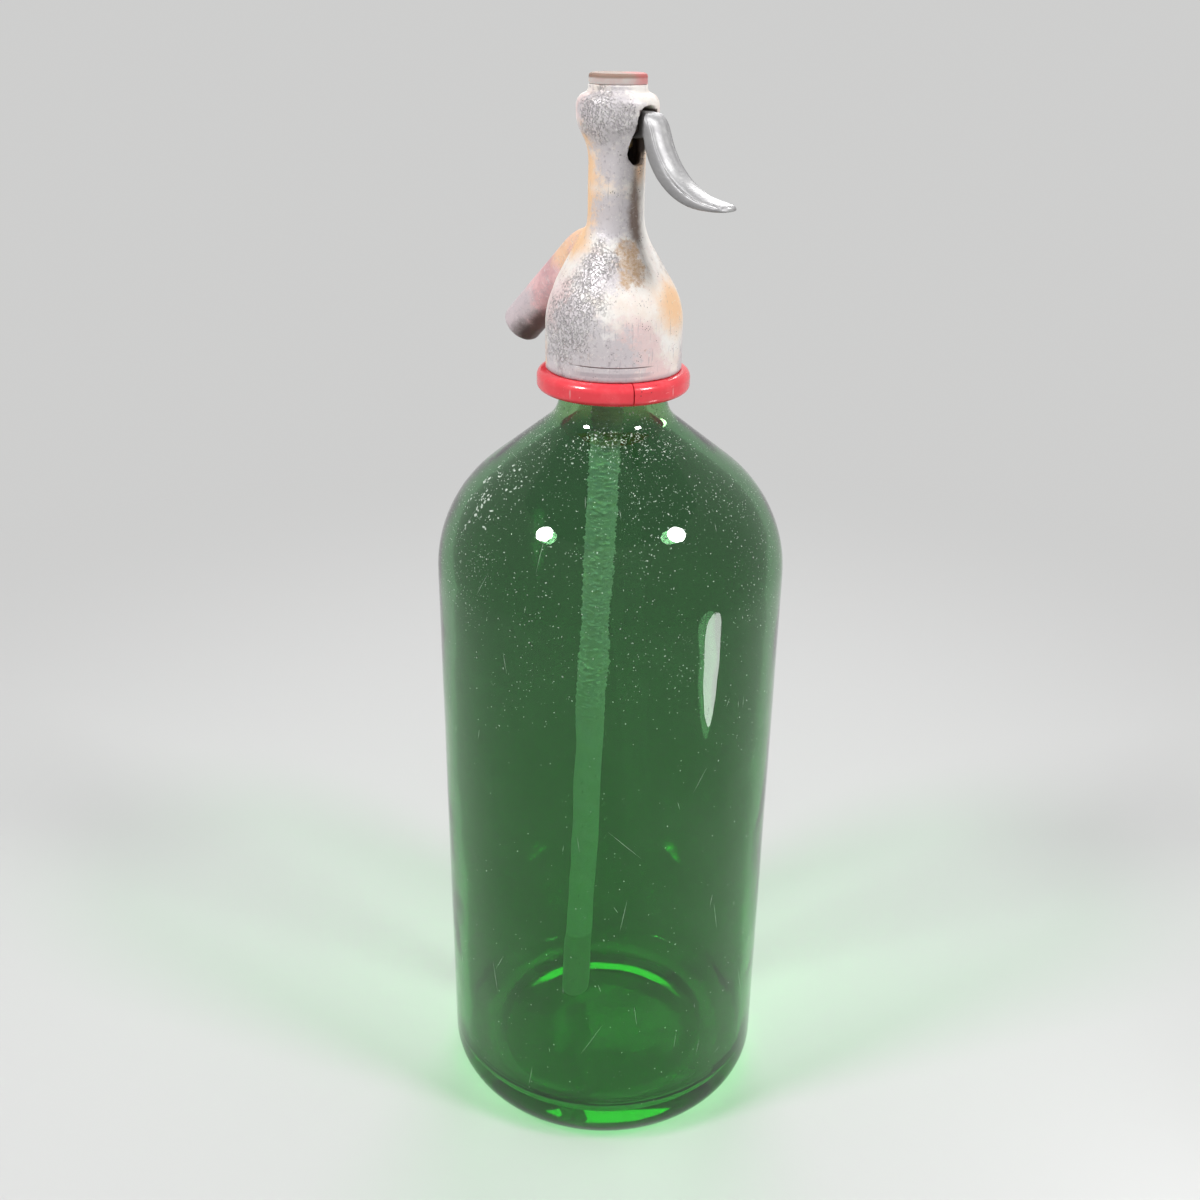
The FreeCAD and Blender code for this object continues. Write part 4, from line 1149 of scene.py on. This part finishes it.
def dip_tube(plastic):
    """The leaning tube, crusted into fine uneven rings on its upper half."""
    vertices = [v.co for v in frame["nodes"]["dip_tube"].data.vertices]
    middle = sum(v.z for v in vertices) / len(vertices)
    top, foot = (sum(half, Vector()) / len(half) for half in (
        [v for v in vertices if v.z > middle], [v for v in vertices if v.z <= middle]))
    axis = (foot - top).normalized()
    spread = [((v - top) - axis * (v - top).dot(axis)).length for v in vertices]
    bore, outside = min(spread), max(spread)
    length = (foot - top).length
    outline = [(bore, 0.0), (outside - TUBE_RIM, 0.0), (outside, TUBE_RIM),
               (outside, length - TUBE_RIM), (outside - TUBE_RIM, length), (bore, length),
               (bore, 0.0)]

    def crust(point, r, z):
        if r < outside - TUBE_RIM / 2:
            return point
        turned = math.atan2(point.y, point.x)
        ring = Vector((math.cos(turned) * CRUST_ROUND, math.sin(turned) * CRUST_ROUND,
                       z / CRUST_STEP))
        rough = noise.noise(ring) + CRUST_FINE_SHARE * noise.noise(ring * CRUST_FINE)
        upper = 1 - smoothstep(z, *(share * length for share in CRUST_END))
        pull = (CRUST_RISE * max(rough, 0.0) - CRUST_SINK) * MM * upper
        pull *= smoothstep(z, *CRUST_TOP_FADE)
        return Vector((point.x * (1 + pull / r), point.y * (1 + pull / r), z))

    mesh = lathe("dip_tube_skin", divided(outline, TUBE_STEP), TUBE_SIDES, crust)
    turn = UP.rotation_difference(axis).to_matrix().to_4x4()
    mesh.transform(Matrix.Translation(top) @ turn)
    return keep("dip_tube_skin", mesh, plastic, "tube_plastic", "dip_tube")


SPRING_WIRE = 0.35 * MM
SPRING_COILS = 4
SPRING_STEPS = 28
SPRING_SIDES = 10


def spring(steel):
    """The valve's return spring: a coil of round wire."""
    low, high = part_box("stem_spring")
    radius = high.x - SPRING_WIRE
    rise = high.z - low.z - 2 * SPRING_WIRE
    steps = SPRING_COILS * SPRING_STEPS
    work = bmesh.new()
    rings = []
    for i in range(steps + 1):
        turned = math.tau * i / SPRING_STEPS
        out = Vector((math.cos(turned), math.sin(turned), 0))
        middle = out * radius + UP * (low.z + SPRING_WIRE + rise * i / steps)
        ring = []
        for side in range(SPRING_SIDES):
            angle = math.tau * side / SPRING_SIDES
            spoke = out * math.cos(angle) + UP * math.sin(angle)
            ring.append(work.verts.new(middle + spoke * SPRING_WIRE))
        rings.append(ring)
    bar(work, rings)
    bmesh.ops.recalc_face_normals(work, faces=work.faces)
    mesh = shade(to_mesh("return_spring", work))
    coil = keep("return_spring", mesh, steel, "spring_steel", "stem_spring")
    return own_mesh(coil)


# ---- stage and light

FLOOR_COLOUR = (0.58, 0.58, 0.575, 1)
GROUND_COLOUR = (0.62, 0.62, 0.615, 1)
PAPER_FADE = (0.18, 0.62)
COVE_NEAR = 0.4
COVE_FLAT = 1.5
COVE_BEND = 0.7
COVE_TOP = 2.6
COVE_BENDS = 12
COVE_SIDES = 96
SKY_COLOUR = (0.97, 0.98, 1.0, 1)
SKY_STRENGTH = 0.48


def studio_paper():
    """Pale paper that takes the siphon's shadow, and fades into an even pale ground."""
    material, tree, shader = finish("studio_paper", Roughness=0.9, Specular_IOR_Level=0.1,
                                    Base_Color=FLOOR_COLOUR)
    even = add(tree, "Emission", {"Color": GROUND_COLOUR})
    rays = add(tree, "LightPath").outputs
    seen = strongest(tree, rays["Is Camera Ray"], rays["Is Glossy Ray"],
                     rays["Is Transmission Ray"])
    far = ramp(tree, length(tree, where(tree)), *PAPER_FADE)
    mixed = add(tree, "MixShader", {0: times(tree, seen, far), 1: shader.outputs[0],
                                    2: even.outputs[0]})
    fill(tree, tree.nodes["Material Output"], Surface=mixed.outputs[0])
    return material


def stage():
    """A pale floor that curves up into a pale wall all round."""
    outline = [(0.0, 0.0), (COVE_NEAR, 0.0), (COVE_FLAT, 0.0)]
    for i in range(1, COVE_BENDS + 1):
        angle = math.pi / 2 * i / COVE_BENDS
        outline.append((COVE_FLAT + COVE_BEND * math.sin(angle),
                        COVE_BEND * (1 - math.cos(angle))))
    outline.append((COVE_FLAT + COVE_BEND, COVE_TOP))
    floor = show("studio_floor", lathe("studio_floor", outline, COVE_SIDES))
    floor.data.materials.append(studio_paper())


# Each lamp: azimuth and elevation in degrees, distance, width and height in metres,
# watts, and the point of the siphon that it is aimed at
LAMPS = {
    "key_box": (100.0, 46.0, 1.1, 0.22, 0.22, 6.4, (0, 0, 0.16)),
    "fill_box": (-20.0, 46.0, 1.1, 0.22, 0.22, 7.2, (0, 0, 0.16)),
    "back_box": (215.0, 40.0, 1.2, 0.7, 0.5, 7.0, (0, 0, 0.16)),
    "side_card": (111.0, -25.0, 0.24, 0.05, 0.085, 0.085, (0.048, -0.012, 0.172)),
}


def lamp(name, azimuth, elevation, distance, width, height, watts, aim):
    light = bpy.data.lights.new(name, "AREA")
    light.shape = "ELLIPSE"
    light.size, light.size_y = width, height
    light.energy = watts
    stand = show(name, light)
    away = towards(math.radians(azimuth), math.radians(elevation))
    stand.location = away * distance + Vector(aim)
    stand.rotation_mode = "QUATERNION"
    stand.rotation_quaternion = away.to_track_quat("Z", "Y")
    stand.visible_camera = False


def set_up_light():
    world = bpy.data.worlds.new("studio")
    world.use_nodes = True
    fill(world.node_tree, world.node_tree.nodes["Background"], Color=SKY_COLOUR,
         Strength=SKY_STRENGTH)
    bpy.context.scene.world = world
    for name, settings in LAMPS.items():
        lamp(name, *settings)


# ---- assembly

# Each metal or seal: its fresh and its marked colour, and how rough a seal is
BRASS = ((0.6, 0.43, 0.19, 1), (0.28, 0.2, 0.1, 1))
STEEL = ((0.62, 0.62, 0.62, 1), (0.4, 0.38, 0.37, 1))
RUBBER = ((0.03, 0.028, 0.027, 1), (0.07, 0.065, 0.06, 1), 0.6)
FIBRE = ((0.33, 0.1, 0.06, 1), (0.42, 0.18, 0.11, 1), 0.75)


def dress_nodes(material, *nodes):
    """Gives CAD nodes that stay a finish of their own."""
    for node in nodes:
        for slot in frame["nodes"][node].material_slots:
            slot.material = material


def dress_siphon():
    glass, lime = bottle_glass(), lime_crust()
    blown = bottle(glass)
    lime_flecks(blown, lime)
    glass_scratches(blown, lime)
    head(head_enamel())
    spout(spout_enamel())
    lever(lever_metal())
    dip_tube(tube_plastic())
    dress_nodes(collar_red(), "collar_half_rear", "collar_half_front")
    dress_nodes(turned_metal("brass", *BRASS), "packing_washer", "tube_nut", "valve_seat",
                "washer_cup", "washer_screw", "valve_stem", "gland_nut")
    spring(turned_metal("steel", *STEEL))
    dress_nodes(seal_stock("seal_rubber", *RUBBER), "mouth_gasket", "tube_bush", "valve_washer")
    dress_nodes(seal_stock("seal_fibre", *FIBRE), "seat_washer", "stem_packing")
    dress_nodes(cap_rose(), "top_cap")


set_up_camera()
stage()
set_up_light()
dress_siphon()

bpy.context.scene.view_settings.view_transform = "Standard"
